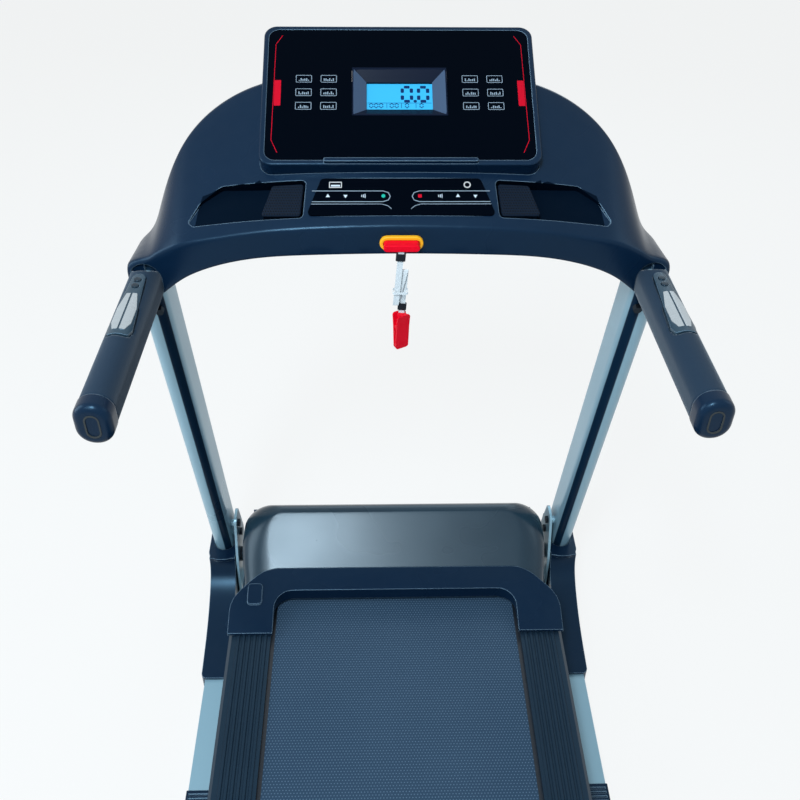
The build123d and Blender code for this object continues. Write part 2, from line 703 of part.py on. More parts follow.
def motor_housing():
    """Drive motor with end bells, cooling ribs and feet on the motor plate."""
    body = rod_x(MOTOR_RADIUS, -140, 90, MOTOR_Y, MOTOR_Z)
    bell = rod_x(MOTOR_RADIUS - 4, 90, 112, MOTOR_Y, MOTOR_Z) + rod_x(MOTOR_RADIUS - 4, -156, -140, MOTOR_Y, MOTOR_Z)
    body = body + bell
    plate_top = SIDE_TUBE_LOW + 18
    for x in (-110, 60):
        body = body + block(x, x + 24, MOTOR_Y - 36, MOTOR_Y + 36, plate_top, MOTOR_Z - 20)
    for row in range(5):
        x = -70 + row * 26
        ring = rod_x(MOTOR_RADIUS + 2.5, x, x + 6, MOTOR_Y, MOTOR_Z)
        body = body + ring
    return body - rod_x(7 + RUN_CLEAR, -157, -120, MOTOR_Y, MOTOR_Z)


def motor_rotor():
    """Motor shaft with flywheel fan and belt pulley."""
    low = DRIVE_X - DRIVE_WIDE / 2
    high = DRIVE_X + DRIVE_WIDE / 2
    shaft = rod_x(7, low, -121, MOTOR_Y, MOTOR_Z)
    pulley = rod_x(MOTOR_PULLEY, low, high, MOTOR_Y, MOTOR_Z) + rod_x(MOTOR_PULLEY + 2, low, low + 1, MOTOR_Y, MOTOR_Z)
    wheel = rod_x(38, -196, -166, MOTOR_Y, MOTOR_Z) - rod_x(29, -197, -178, MOTOR_Y, MOTOR_Z)
    wheel = wheel + rod_x(12, -197, -160, MOTOR_Y, MOTOR_Z)
    for spoke in range(10):
        turn = 360 / 10 * spoke
        blade = Pos(MOTOR_Y, MOTOR_Z) * Rot(0, 0, turn) * Pos(20, 0) * Rectangle(20, 2)
        wheel = wheel + side_prism(blade, -196, -178)
    return shaft + pulley + wheel


def drive_belt():
    """Flat drive belt round the motor pulley and the roller pulley."""
    def loop(extra):
        small = Pos(MOTOR_Y, MOTOR_Z) * Circle(MOTOR_PULLEY + extra)
        large = Pos(FRONT_ROLLER_Y, ROLLER_Z) * Circle(ROLLER_PULLEY + extra)
        return make_hull(small.edges() + large.edges())

    band = loop(FIT_CLEAR + 2.5) - loop(FIT_CLEAR)
    half = DRIVE_WIDE / 2 - 2.2
    return side_prism(band, DRIVE_X - half, DRIVE_X + half)


def motor_controller():
    """Motor controller box with a finned heat sink."""
    plate_top = SIDE_TUBE_LOW + 18
    box = block(130, 236, 530, 628, plate_top, plate_top + 34)
    box = fillet(box.edges().filter_by(Axis.Z), 4)
    for fin in range(7):
        x = 138 + fin * 14
        box = box + block(x, x + 4, 536, 622, plate_top + 34, plate_top + 60)
    return box


def power_inlet():
    """Mains inlet plate in the front of the tray, with a socket recess and the rocker bay."""
    face = HOOD_FRONT
    gap = FIT_CLEAR
    plate = block(INLET_X - 32 + gap, INLET_X + 32 - gap, face - 18, face, INLET_Z - 16 + gap, INLET_Z + 16 - gap)
    socket = block(INLET_X - 27, INLET_X + 1, face - 14, face + 1, INLET_Z - 10, INLET_Z + 10)
    post = block(INLET_X - 23, INLET_X - 3, face - 14.5, face - 4, INLET_Z - 5, INLET_Z + 5)
    bay = block(INLET_X + 7, INLET_X + 27, face - 14, face + 1, INLET_Z - 12, INLET_Z + 12)
    pin_run = rod_x(2 + RUN_CLEAR, INLET_X + 4, INLET_X + 30, face - 5, INLET_Z)
    return plate - socket + post - bay - pin_run


def power_rocker():
    """Rocker of the mains switch."""
    face = HOOD_FRONT
    outline = polygon(
        [(face - 8, INLET_Z - 9.5), (face + 0.5, INLET_Z - 10.5), (face - 2, INLET_Z), (face + 2.5, INLET_Z + 10.5),
         (face - 8, INLET_Z + 9.5)]
    )
    pin = rod_x(2, INLET_X + 4.2, INLET_X + 29.8, face - 5, INLET_Z)
    return side_prism(outline, INLET_X + 8, INLET_X + 26) + pin


def console_station(fraction):
    """Side outline values of the console at one fraction of its half width."""
    rows = (
        (0.00, 0.0, 0.0, 0.0, 1.0, 0.0, 45.0),
        (0.32, 0.0, -2.0, -3.0, 0.98, 0.0, 45.0),
        (0.53, 1.0, -8.0, -10.0, 0.94, 0.0, 46.0),
        (0.68, 3.0, -22.0, -20.0, 0.85, 0.0, 49.0),
        (0.79, 6.0, -42.0, -30.0, 0.70, -1.0, 54.0),
        (0.85, 9.0, -60.0, -41.0, 0.57, -8.0, 56.0),
        (0.893, 12.0, -74.0, -50.0, 0.50, -31.0, 56.0),
        (0.941, 16.0, -84.0, -59.0, 0.475, -54.0, 58.0),
        (0.984, 18.5, -86.0, -65.0, 0.465, -62.0, 42.0),
        (1.00, 22.0, -86.0, -78.0, 0.44, -64.0, 26.0),
    )
    return min(rows, key=lambda row: abs(row[0] - fraction))


def console_corners(fraction):
    """Rear bottom, ridge, front top and front bottom corners of one console section."""
    row = console_station(fraction)
    rear_y = RIDGE_Y + row[1]
    bottom_z = RIDGE_Z - APRON_TALL + row[2]
    ridge_z = RIDGE_Z + row[3]
    front_y = RIDGE_Y + DOME_RUN * row[4]
    front_z = ridge_z + (front_y - rear_y) * math.tan(math.radians(SLOPE)) + row[5]
    under = (front_y + 10, front_z - row[6])
    return (rear_y, bottom_z), (rear_y, ridge_z), (front_y, front_z), under


def console_face(fraction, inset):
    """One console section as a rounded outline, shrunk by an inset."""
    rear, ridge, front, under = console_corners(fraction)
    radii = [3, 7, 9, 5]
    face = soft_polygon([rear, ridge, front, under], radii)
    if inset:
        face = offset(face, -inset, kind=Kind.INTERSECTION)
    return face


def console_loft(inset, stations):
    """Solid console form lofted across the width through some of the stations."""
    faces = []
    for fraction in [-value for value in stations[:0:-1]] + list(stations):
        x = math.copysign(abs(fraction) * (CONSOLE_HALF - inset), fraction)
        faces.append(Plane.YZ.offset(x) * console_face(abs(fraction), inset))
    return loft(faces)


def slope_plane():
    """Plane of the sloping console top, origin on the ridge."""
    tilt = math.radians(SLOPE)
    return Plane(origin=(0, RIDGE_Y, RIDGE_Z), x_dir=(1, 0, 0), z_dir=(0, -math.sin(tilt), math.cos(tilt)))


def display_plane():
    """Plane of the display glass, origin at the middle of the lower edge."""
    tilt = math.radians(DISPLAY_TILT)
    return Plane(origin=(0, DISPLAY_Y, DISPLAY_Z), x_dir=(1, 0, 0), z_dir=(0, -math.sin(tilt), math.cos(tilt)))


def slope_prism(face, low, high):
    """Extrude a face drawn on the console slope between two heights over it."""
    return extrude(slope_plane().offset(low) * face, amount=high - low)


def display_prism(face, low, high):
    """Extrude a face drawn on the display between two heights over it."""
    return extrude(display_plane().offset(low) * face, amount=high - low)


def tray_face(grow):
    """Outline of the right tray on the slope."""
    face = soft_polygon(
        [(130, 15), (277, 13), (284, 20), (268, 48), (240, 69), (126, 71)], [6, 4, 4, 30, 12, 6]
    )
    return offset(face, grow) if grow else face


def keypad_face():
    """Outline of the keypad overlay on the slope."""
    return soft_polygon([(-125, 17), (125, 17), (106, 72), (-106, 72)], [5, 5, 7, 7])


def display_face(margin):
    """Rounded outline of the display, less a margin."""
    face = RectangleRounded(DISPLAY_WIDE - 2 * margin, DISPLAY_TALL - 2 * margin, 18 - margin / 2)
    return Pos(0, DISPLAY_TALL / 2) * face


def grip_plane(along):
    """Plane across the right handle at a distance from its root, local Y up."""
    run = (GRIP_FLARE, -296.0, -5.0)
    length = math.sqrt(sum(part * part for part in run))
    unit = [part / length for part in run]
    origin = (GRIP_X + unit[0] * along, GRIP_Y + unit[1] * along, GRIP_Z + unit[2] * along)
    return Plane(origin=origin, x_dir=(-unit[1], unit[0], 0), z_dir=unit)


def grip_prism(face, start, end):
    """Extrude a face drawn across the right handle between two distances."""
    return extrude(grip_plane(start) * face, amount=end - start)


def grip_oval(grow):
    """Cross section of the handle."""
    return RectangleRounded(GRIP_WIDE + 2 * grow, GRIP_TALL + 2 * grow, GRIP_WIDE / 2 + grow - 0.6)


def back_zone(trim, high):
    """Band along the underside of the console that belongs to the back cover."""
    faces = []
    middle = [value for value in STATIONS if value < 0.8]
    for fraction in [-value for value in middle[:0:-1]] + middle:
        rear, ridge, front, under = console_corners(abs(fraction))
        run_y = under[0] - rear[0]
        run_z = under[1] - rear[1]
        length = math.hypot(run_y, run_z)
        dy = run_y / length
        dz = run_z / length
        near = 14 + trim
        far = length - 14 - trim
        low = -3.0
        corners = []
        for reach, rise in ((near, low), (far, low), (far, high), (near, high)):
            corners.append((rear[0] + dy * reach - dz * rise, rear[1] + dz * reach + dy * rise))
        x = math.copysign(abs(fraction) * (CONSOLE_HALF - 9 - trim), fraction)
        faces.append(Plane.YZ.offset(x) * polygon(corners))
    return loft(faces)


def console_parts():
    """Console shell with trays, display seat and handle bosses, and the back cover that closes it."""
    outside = console_loft(0, STATIONS)
    cover = outside & back_zone(0.2, CONSOLE_WALL - 0.4)
    tray = slope_prism(tray_face(0), -TRAY_DEEP, 60)
    outside = outside - tray - other_side(tray)
    outside = outside - slope_prism(offset(keypad_face(), FIT_CLEAR), -2.2, 60)
    outside = outside - display_prism(display_face(-FIT_CLEAR), -DISPLAY_THICK - FIT_CLEAR, 60)
    room = console_loft(CONSOLE_WALL, STATIONS[:-2])
    tray_wall = slope_prism(tray_face(CONSOLE_WALL), -TRAY_DEEP - CONSOLE_WALL, 60)
    room = room - tray_wall - other_side(tray_wall)
    room = room - slope_prism(offset(keypad_face(), 4), -6, 60)
    seat_deep = DISPLAY_THICK + FIT_CLEAR + CONSOLE_WALL
    room = room - display_prism(display_face(-FIT_CLEAR - CONSOLE_WALL), -seat_deep, 60)
    boss = grip_prism(grip_oval(2.0), -30, -4)
    room = room - boss - other_side(boss)
    shell = outside - room - back_zone(0, CONSOLE_WALL + 0.4)
    tube_hole = grip_prism(Circle(GRIP_TUBE + FIT_CLEAR), -80, 10)
    grip_seat = grip_prism(grip_oval(FIT_CLEAR), -0.3, 40)
    post_hole = post_solid(1.0) & block(0, 500, 0, 900, 700, POST_TOP + 1)
    for cut in (tube_hole, grip_seat, post_hole, saddle_block(FIT_CLEAR)):
        shell = shell - cut - other_side(cut)
    socket_hole = front_prism(Pos(0, KEY_Z) * SlotOverall(46 + 2 * FIT_CLEAR, 9 + 2 * FIT_CLEAR), 300, 340)
    shell = shell - socket_hole
    return max(shell.solids(), key=volume_of), max(cover.solids(), key=volume_of)


def volume_of(solid):
    """Sort key for the largest solid."""
    return solid.volume


def saddle_block(grow):
    """Block that carries the right handle tube on top of the upright."""
    half = SADDLE_HALF + grow
    return block(GRIP_X - half, GRIP_X + half, SADDLE_REAR - grow, SADDLE_FRONT + grow, POST_TOP, GRIP_Z)


def handle_tube():
    """Right handle tube with the saddle that joins it to the upright."""
    tube = grip_prism(Circle(GRIP_TUBE), -44, GRIP_LENGTH + 10)
    saddle = saddle_block(0)
    bore = grip_prism(Circle(GRIP_TUBE - TUBE_WALL), -46, GRIP_LENGTH + 12)
    return tube + saddle - bore


def pulse_prism(points, radii, low, high):
    """Extrude an outline drawn on top of the right handle, given as sideways and along."""
    root = grip_plane(0)
    top = Plane(origin=root.origin, x_dir=root.x_dir, z_dir=root.y_dir)
    face = soft_polygon([(side, -along) for side, along in points], radii)
    return extrude(top.offset(low) * face, amount=high - low)


def pulse_outline(grow):
    """Long taper of the pulse housing, wider towards the runner."""
    start = PULSE_START - grow
    end = PULSE_START + PULSE_LENGTH + grow
    return [(-8.5 - grow, start), (8.5 + grow, start), (16 + grow, end - 14), (13 + grow, end), (-13 - grow, end),
            (-16 - grow, end - 14)]


def key_places():
    """Distances of the two quick keys along the handle."""
    return (PULSE_START + 14, PULSE_START + 28)


def quick_key(along, grow, drop):
    """Round quick key in the right pulse housing."""
    plane = grip_plane(along)
    top = GRIP_TALL / 2 + PULSE_PROUD + KEY_TRAVEL
    seat = Plane(origin=plane.origin + plane.y_dir * (top - 8 - drop), x_dir=plane.x_dir, z_dir=plane.y_dir)
    key = extrude(seat * Circle(KEY_RADIUS + grow), amount=8 + 4 * grow + drop)
    if grow == 0:
        key = fillet(key.edges().sort_by(Axis.Z)[-1], 0.8)
    return key


def pulse_housing():
    """Right pulse housing, a saddle flush with the handle, with bores for the keys."""
    radii = [7, 7, 10, 5, 5, 10]
    body = grip_prism(grip_oval(PULSE_PROUD), 10, GRIP_LENGTH - 40) & pulse_prism(pulse_outline(0), radii, 17, 40)
    for along in key_places():
        body = body - quick_key(along, 0.4, KEY_TRAVEL + 0.5)
    return body


def pulse_plates():
    """Two pulse plates on the right housing, split along the middle."""
    skin = grip_prism(grip_oval(PULSE_PROUD + PLATE_THICK), 10, 220) - grip_prism(grip_oval(PULSE_PROUD), 9, 221)
    start = PULSE_START + 46
    end = PULSE_START + PULSE_LENGTH - 9
    plates = []
    for side in (-1, 1):
        points = [(side * 1.2, start), (side * 7, start), (side * 12.5, start + 30), (side * 12.5, end - 16),
                  (side * 8, end), (side * 1.2, end)]
        if side < 0:
            points.reverse()
        plates.append(skin & pulse_prism(points, [1, 1, 3, 3, 1, 1], 17, 45))
    return plates


def foam_grip():
    """Right foam grip with the seat for the pulse housing."""
    body = grip_prism(grip_oval(0), 0, GRIP_LENGTH)
    body = body - grip_prism(Circle(GRIP_TUBE + FIT_CLEAR), -1, GRIP_LENGTH + 1) - post_solid(FIT_CLEAR)
    return body - pulse_prism(pulse_outline(0.2), [7, 7, 10, 5, 5, 10], 16.8, 45)


def grip_end_cap():
    """Right handle end cap."""
    cap = grip_prism(grip_oval(0.8), GRIP_LENGTH, GRIP_LENGTH + CAP_LENGTH)
    cap = fillet(cap.faces().sort_by(Axis.Y)[0].edges(), 9)
    return cap - grip_prism(Circle(GRIP_TUBE + FIT_CLEAR), GRIP_LENGTH - 1, GRIP_LENGTH + 11)


def display_housing():
    """Display housing, open at the back, with the glass seat, the window and the tablet ledge."""
    body = display_prism(display_face(0), -DISPLAY_THICK, 0)
    body = fillet(body.faces().sort_by(Axis((0, 0, 0), display_plane().z_dir))[-1].edges(), 2)
    hollow = display_prism(display_face(4), -DISPLAY_THICK - 1, -6)
    seat = display_prism(display_face(GLASS_MARGIN), -GLASS_THICK, 1)
    window = display_prism(Pos(0, BEZEL_UP) * Rectangle(BEZEL_WIDE + 0.6, BEZEL_TALL + 0.6), -10, 1)
    ledge_face = Pos(0, 4) * RectangleRounded(204, 5.5, 2)
    ledge = display_prism(ledge_face, -1, 6)
    return body - hollow - seat - window + ledge


def display_glass():
    """Black display glass with the bezel opening."""
    glass = display_prism(display_face(GLASS_MARGIN + 0.2), -GLASS_THICK, 0)
    return glass - display_prism(Pos(0, BEZEL_UP) * Rectangle(BEZEL_WIDE + 0.6, BEZEL_TALL + 0.6), -10, 1)


def lcd_frame():
    """Mitred funnel frame round the display module."""
    place = Pos(0, BEZEL_UP)
    body = display_prism(place * Rectangle(BEZEL_WIDE, BEZEL_TALL), -BEZEL_DEEP - 3, 0.8)
    wide = display_plane().offset(0.8) * place * Rectangle(BEZEL_WIDE - 3, BEZEL_TALL - 3)
    small = display_plane().offset(-BEZEL_DEEP) * place * Rectangle(LCD_WIDE, LCD_TALL)
    funnel = loft([small, wide], ruled=True)
    return body - funnel - display_prism(place * Rectangle(LCD_WIDE, LCD_TALL), -BEZEL_DEEP - 4, -BEZEL_DEEP + 1)


def lcd_module():
    """Display module behind the frame."""
    deep = BEZEL_DEEP + 3
    return display_prism(Pos(0, BEZEL_UP) * Rectangle(LCD_WIDE + 10, LCD_TALL + 10), -deep - 4, -deep)


def keypad_overlay():
    """Gloss keypad overlay between the trays."""
    return slope_prism(keypad_face(), -2.2, 0.4)


def speaker_grille():
    """Right speaker pod with its sloping grille, standing in the tray."""
    face = soft_polygon([(133, 18), (185, 18), (171, 63), (129, 66)], [4, 4, 4, 4])
    pod = slope_prism(face, -TRAY_DEEP, -3)
    return chamfer(pod.faces().sort_by(Axis.Z)[-1].edges(), 1.2)


def console_board():
    """Control board on four posts under the keypad."""
    board = slope_prism(Pos(0, 44) * Rectangle(150, 34), -14, -12.4)
    for x in (-68, 68):
        for up in (33, 55):
            board = board + slope_prism(Pos(x, up) * Circle(3), -12.4, -8.3)
    return board


def safety_socket():
    """Oval safety key socket with a spigot through the apron."""
    rear = RIDGE_Y - FIT_CLEAR
    plate = front_prism(Pos(0, KEY_Z) * SlotOverall(SOCKET_WIDE, SOCKET_TALL), rear - SOCKET_PROUD, rear)
    plate = fillet(plate.faces().sort_by(Axis.Y)[0].edges(), 2)
    spigot = front_prism(Pos(0, KEY_Z) * SlotOverall(46, 9), rear, rear + 8)
    seat = front_prism(Pos(0, KEY_Z) * SlotOverall(50, 12), rear - SOCKET_PROUD - 1, rear - 1.5)
    return plate + spigot - seat


def safety_key():
    """Red safety key with a notch for the lanyard."""
    rear = RIDGE_Y - FIT_CLEAR - 1.5 - FIT_CLEAR
    key = front_prism(Pos(0, KEY_Z) * SlotOverall(48, 10), rear - 16, rear)
    key = fillet(key.faces().sort_by(Axis.Y)[0].edges(), 1.5)
    half = TAPE_WIDE / 2 + FIT_CLEAR
    thick = TAPE_THICK / 2 + FIT_CLEAR
    return key - block(-half, half, TAPE_Y - thick, TAPE_Y + thick, KEY_Z - 6, KEY_Z + 2)


def lanyard_route():
    """Corner points and bend radii of the lanyard: down, up behind and down again to the clip."""
    near = TAPE_Y
    middle = TAPE_Y + TAPE_STEP
    far = TAPE_Y + 2 * TAPE_STEP
    points = [
        (0.0, near, KEY_Z + 1.5),
        (-7.0, near, CLIP_TOP + 18),
        (-7.5, middle, CLIP_TOP + 18),
        (5.5, middle, CLIP_TOP + 72),
        (6.0, far, CLIP_TOP + 72),
        (1.0, far, CLIP_TOP + 1),
    ]
    radii = [0.45 * TAPE_STEP] * 4
    return points, radii


def lanyard():
    """Flat woven lanyard folded into a hank, one unbroken tape."""
    points, radii = lanyard_route()
    path = FilletPolyline(points, radius=radii)
    start = Plane(origin=path @ 0, x_dir=(1, 0, 0), z_dir=path % 0)
    section = start * Rectangle(TAPE_WIDE, TAPE_THICK)
    guide = Pos(60, 0, 0) * path
    return sweep(section, path=path, binormal=guide.wire()), path


def lanyard_gap(path):
    """Least gap between two passes of the lanyard, measured on points along its line."""
    count = 450
    step = path.length / count
    points = [path @ (index / count) for index in range(count + 1)]
    apart = int(4 * TAPE_STEP / step)
    least = 1000.0
    for first in range(count + 1):
        for last in range(first + apart, count + 1):
            least = min(least, (points[first] - points[last]).length)
    return least - TAPE_THICK


def lanyard_sleeves():
    """Crimp sleeves at the key end and at the clip end of the lanyard."""
    points, radii = lanyard_route()
    sleeves = []
    for first, last, height, wide in ((0, 1, KEY_Z - 14, 13.0), (4, 5, CLIP_TOP + 12, 12.0)):
        a = Vector(points[first])
        b = Vector(points[last])
        share = (a.Z - height) / (a.Z - b.Z)
        plane = Plane(origin=a + (b - a) * share, x_dir=(1, 0, 0), z_dir=(a - b).normalized())
        outer = extrude(plane * RectangleRounded(wide, 5, 1.5), amount=5, both=True)
        hole = Rectangle(TAPE_WIDE + 2 * FIT_CLEAR, TAPE_THICK + 2 * FIT_CLEAR)
        sleeves.append(outer - extrude(plane * hole, amount=6, both=True))
    return sleeves


def clip_place():
    """Where the clip hangs, turned a little to the runner's right."""
    return Pos(1.0, TAPE_Y + 2 * TAPE_STEP, CLIP_TOP) * Rot(0, 0, CLIP_TURN)


def clip_jaw(side):
    """Side outline of one clip jaw, extruded across its width."""
    points = [(8, 0), (5.5, -CLIP_PIVOT), (4.5, -40), (3.4, -CLIP_TALL), (0.3, -CLIP_TALL), (1.0, -44),
              (2.9, -CLIP_PIVOT), (5.4, 0)]
    jaw = side_prism(polygon([(side * y, z) for y, z in points]), -CLIP_WIDE / 2, CLIP_WIDE / 2)
    corners = front_prism(Pos(0, -CLIP_TALL / 2) * RectangleRounded(CLIP_WIDE, CLIP_TALL, 4), -20, 20)
    return jaw & corners


def clip_front_jaw():
    """Front clip jaw with the lanyard tab, the ears and the pivot pin."""
    jaw = clip_jaw(-1)
    jaw = jaw + block(-6, 6, -7, 2, -4, 0)
    pin = rod_x(2, -9.5, 9.5, 0, -CLIP_PIVOT)
    ear = block(7.5, 9.5, -4, 2.0, -CLIP_PIVOT - 3, -CLIP_PIVOT + 3)
    return clip_place() * (jaw + pin + ear + other_side(ear))


def clip_back_jaw():
    """Back clip jaw with the barrel that turns on the pin."""
    jaw = clip_jaw(1)
    barrel = rod_x(3.6, -7, 7, 0, -CLIP_PIVOT) + block(-7, 7, 0, 4, -CLIP_PIVOT - 2, -CLIP_PIVOT + 2)
    barrel = barrel & block(-8, 8, -2.4, 6, -40, 0)
    bore = rod_x(2 + RUN_CLEAR, -20, 20, 0, -CLIP_PIVOT)
    return clip_place() * (jaw + barrel - bore)


def main():
    """Build every piece and write it to its own file."""
    os.makedirs("parts", exist_ok=True)
    save("base_side_tube_right", base_tube())
    save("base_side_tube_left", other_side(base_tube()))
    save("base_cross_tube_front", base_cross(FRONT_CROSS_Y, BRACKET_IN, FRONT_CROSS_TALL))
    save("base_cross_tube_mid", mid_cross())
    caps = [rear_cap(), front_cap(), front_foot()]
    save("base_end_caps", *caps, *[other_side(cap) for cap in caps])
    save("transport_wheel_right", transport_wheel())
    save("transport_wheel_left", other_side(transport_wheel()))
    save("upright_right", upright())
    save("upright_left", other_side(upright()))
    save("pivot_brackets", pivot_bracket(), other_side(pivot_bracket()))
    bolts = frame_bolts() + [wheel_axle()]
    save("frame_bolts", *bolts, *[other_side(bolt) for bolt in bolts])
    save("base_cover_right", boot_cover())
    save("base_cover_left", other_side(boot_cover()))
    save("spring_barrel", spring_barrel())
    save("spring_rod", spring_rod())
    tubes = [deck_side_tube(), other_side(deck_side_tube())]
    save("deck_frame", *tubes, *deck_cross_tubes())
    save("running_board", running_board())
    rubbers = deck_cushions() + [rear_foot()]
    save("deck_rubbers", *rubbers, *[other_side(rubber) for rubber in rubbers])
    save("running_belt", running_belt())
    save("foot_rail_right", foot_rail())
    save("foot_rail_left", other_side(foot_rail()))
    save("rear_end_caps", rear_end_cap(), other_side(rear_end_cap()))
    save("front_roller", Pos(0, FRONT_ROLLER_Y, ROLLER_Z) * roller_body(True))
    save("rear_roller", Pos(0, REAR_ROLLER_Y, ROLLER_Z) * roller_body(False))
    rear_axle = roller_axle(REAR_ROLLER_Y) + tension_bolt() + other_side(tension_bolt())
    save("roller_axles", roller_axle(FRONT_ROLLER_Y), rear_axle)
    save("hood_cover", hood_cover())
    save("hood_trim", hood_trim())
    save("belly_pan", belly_pan())
    save("motor_housing", motor_housing())
    save("motor_rotor", motor_rotor())
    save("drive_belt", drive_belt())
    save("motor_controller", motor_controller())
    save("power_inlet", power_inlet())
    save("power_rocker", power_rocker())
    shell, cover = console_parts()
    save("console_shell", shell)
    save("console_back_cover", cover)
    save("handle_tubes", handle_tube(), other_side(handle_tube()))
    save("grip_right", foam_grip())
    save("grip_left", other_side(foam_grip()))
    save("grip_end_caps", grip_end_cap(), other_side(grip_end_cap()))
    save("pulse_housing_right", pulse_housing())
    save("pulse_housing_left", other_side(pulse_housing()))
    plates = pulse_plates()
    save("pulse_plates", *plates, *[other_side(plate) for plate in plates])
    for name, along in zip(("front", "rear"), key_places()):
        key = quick_key(along, 0, 0)
        save(f"quick_key_right_{name}", key)
        save(f"quick_key_left_{name}", other_side(key))
    save("display_housing", display_housing())
    save("display_glass", display_glass())
    save("lcd_frame", lcd_frame())
    save("lcd_module", lcd_module())
    save("keypad_overlay", keypad_overlay())
    save("speaker_grilles", speaker_grille(), other_side(speaker_grille()))
    save("console_board", console_board())
    save("safety_socket", safety_socket())
    save("safety_key", safety_key())
    tape, path = lanyard()
    save("lanyard", tape)
    save("lanyard_sleeves", *lanyard_sleeves())
    save("clip_front_jaw", clip_front_jaw())
    save("clip_back_jaw", clip_back_jaw())
    print("lanyard length", round(path.length, 1))
    print("lanyard bend radii", lanyard_route()[1], "least gap to itself", round(lanyard_gap(path), 2))
    print("lanyard volume over section times length", round(tape.volume / (TAPE_WIDE * TAPE_THICK * path.length), 3))


if __name__ == "__main__":
    main()
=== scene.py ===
"""Looks of a folding home treadmill: finishes, printed panels, display, lanyard and studio."""

import json
import math

import bmesh
import bpy
from mathutils import Matrix, Vector

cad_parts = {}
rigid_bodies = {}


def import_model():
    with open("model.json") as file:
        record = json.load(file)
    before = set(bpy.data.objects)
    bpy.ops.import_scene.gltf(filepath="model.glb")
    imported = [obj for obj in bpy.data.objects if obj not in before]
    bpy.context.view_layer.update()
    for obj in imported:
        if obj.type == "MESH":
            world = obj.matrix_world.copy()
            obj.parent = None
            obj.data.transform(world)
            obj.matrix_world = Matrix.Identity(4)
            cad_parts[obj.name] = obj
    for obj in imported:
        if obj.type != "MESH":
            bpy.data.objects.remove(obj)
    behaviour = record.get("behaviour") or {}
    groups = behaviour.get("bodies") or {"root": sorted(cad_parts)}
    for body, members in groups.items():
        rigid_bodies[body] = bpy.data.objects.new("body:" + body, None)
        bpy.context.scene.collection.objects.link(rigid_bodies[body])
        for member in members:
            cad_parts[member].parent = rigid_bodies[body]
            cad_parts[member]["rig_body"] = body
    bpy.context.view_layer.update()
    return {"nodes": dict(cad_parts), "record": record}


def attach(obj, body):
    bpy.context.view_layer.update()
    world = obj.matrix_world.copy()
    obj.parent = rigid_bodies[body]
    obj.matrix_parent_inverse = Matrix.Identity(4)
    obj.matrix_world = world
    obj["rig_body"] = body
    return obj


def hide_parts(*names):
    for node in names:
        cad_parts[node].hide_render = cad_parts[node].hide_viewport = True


bl_info = {
    "name": "Treadmill Looks",
    "version": (1, 0, 0),
    "blender": (4, 5, 0),
    "location": "View3D > Sidebar > Treadmill",
    "description": "Dresses the packed treadmill with finishes, printed panels and a lanyard",
    "category": "Object",
}

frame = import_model()
MM = 0.001

# Slopes of the console, in degrees over the horizon
DISPLAY_TILT = 28.0
KEYPAD_TILT = 32.0

# Camera of the view from the runner's place
CAMERA_PLACE = (-0.037, -0.691, 1.663)
CAMERA_PITCH = math.radians(39.8)
CAMERA_YAW = math.radians(1.97)
CAMERA_ROLL = math.radians(0.89)
CAMERA_LENS = 43.3
CAMERA_SENSOR = 36.0
CAMERA_REACH = 60.0

# Lanyard route: down from the key, up behind, and down again to the clip
LANYARD_ROUTE = (
    (0.0, 0.406, 1.0095),
    (-0.0070, 0.406, 0.917),
    (-0.0075, 0.410, 0.917),
    (0.0055, 0.410, 0.971),
    (0.0060, 0.414, 0.971),
    (0.0010, 0.414, 0.900),
)
TAPE_WIDE = 0.008
TAPE_THICK = 0.0012

# Trays of the console, where painted shade goes: depths under the keypad face, side limits, reach past the
# speakers and least facing
TRAY_SUNK = 0.005
TRAY_REACH = 0.045
TRAY_INNER = 0.128
TRAY_OUTER = 0.27
TRAY_EDGE = 0.006
TRAY_FACING = -0.1

# Oval ring on each grip cap: wide and tall, corner and line in millimetres, depth and rise in metres
CAP_RING = (18.0, 34.0)
CAP_RING_CORNER = CAP_RING[0] * 0.49
CAP_RING_LINE = 2.0
CAP_RING_SUNK = 0.0012
CAP_RING_RISE = 0.0003

# Tie round the folded lanyard: place and size in millimetres, foot and height in metres
TIE_PLACE = (-1.0, 410.0)
TIE = (21.0, 13.0)
TIE_CORNER = 3.0
TIE_LINE = 0.9
TIE_LOW = 0.9365
TIE_TALL = 0.003

# Print on the display glass in millimetres: across from the middle, up the slope of its housing
GLASS_LOW = 7.2
ACCENT_LINE = ((162.0, 216.5), (171.0, 201.0), (172.6, 39.0), (164.0, 18.5))
ACCENT_WIDE = 0.8
BLOCK_PLACE = (166.5, 117.0)
BLOCK = (9.0, 43.0)
BLOCK_CORNER = 1.0
PROGRAM_COLUMNS = (-131.0, -97.0, 97.0, 131.0)
PROGRAM_ROWS = (141.0, 118.0, 95.2)
PROGRAM_KEY = (22.0, 12.5)
PROGRAM_CORNER = 1.5
PROGRAM_LINE = 0.8

# Small bar charts on the program keys in millimetres
CHART_BARS = 6
CHART_LEFT = 6.2
CHART_DROP = 3.6
CHART_PITCH = 2.5
CHART_WIDE = 1.5
CHART_LOW = 1.2
CHART_RISE = 3.6
CHART_WAVE = (1.3, 0.9, 1.7)

# Screen in millimetres: the large reading, the row of small digits and the lines between them
SCREEN_MIDDLE = 28.0
LARGE_PLACES = (4.0, 26.5)
LARGE_DROP = 6.5
LARGE_DIGIT = (12.6, 24.0)
LARGE_STROKE = 4.6
POINT_PLACE = 21.6
POINT_RADIUS = 2.4
SMALL_PLACES = ((-41.0, 3), (-13.0, 2), (8.0, 1), (28.0, 1))
SMALL_DROP = 17.5
SMALL_PITCH = 6.8
SMALL_DIGIT = (4.2, 7.0)
SMALL_STROKE = 1.6
DIVIDERS = (-17.5, 2.5, 22.5)
DIVIDER_DROP = 14.3
DIVIDER = (0.6, 8.0)
RULE_DROP = 9.6
RULE = (88.0, 0.6)

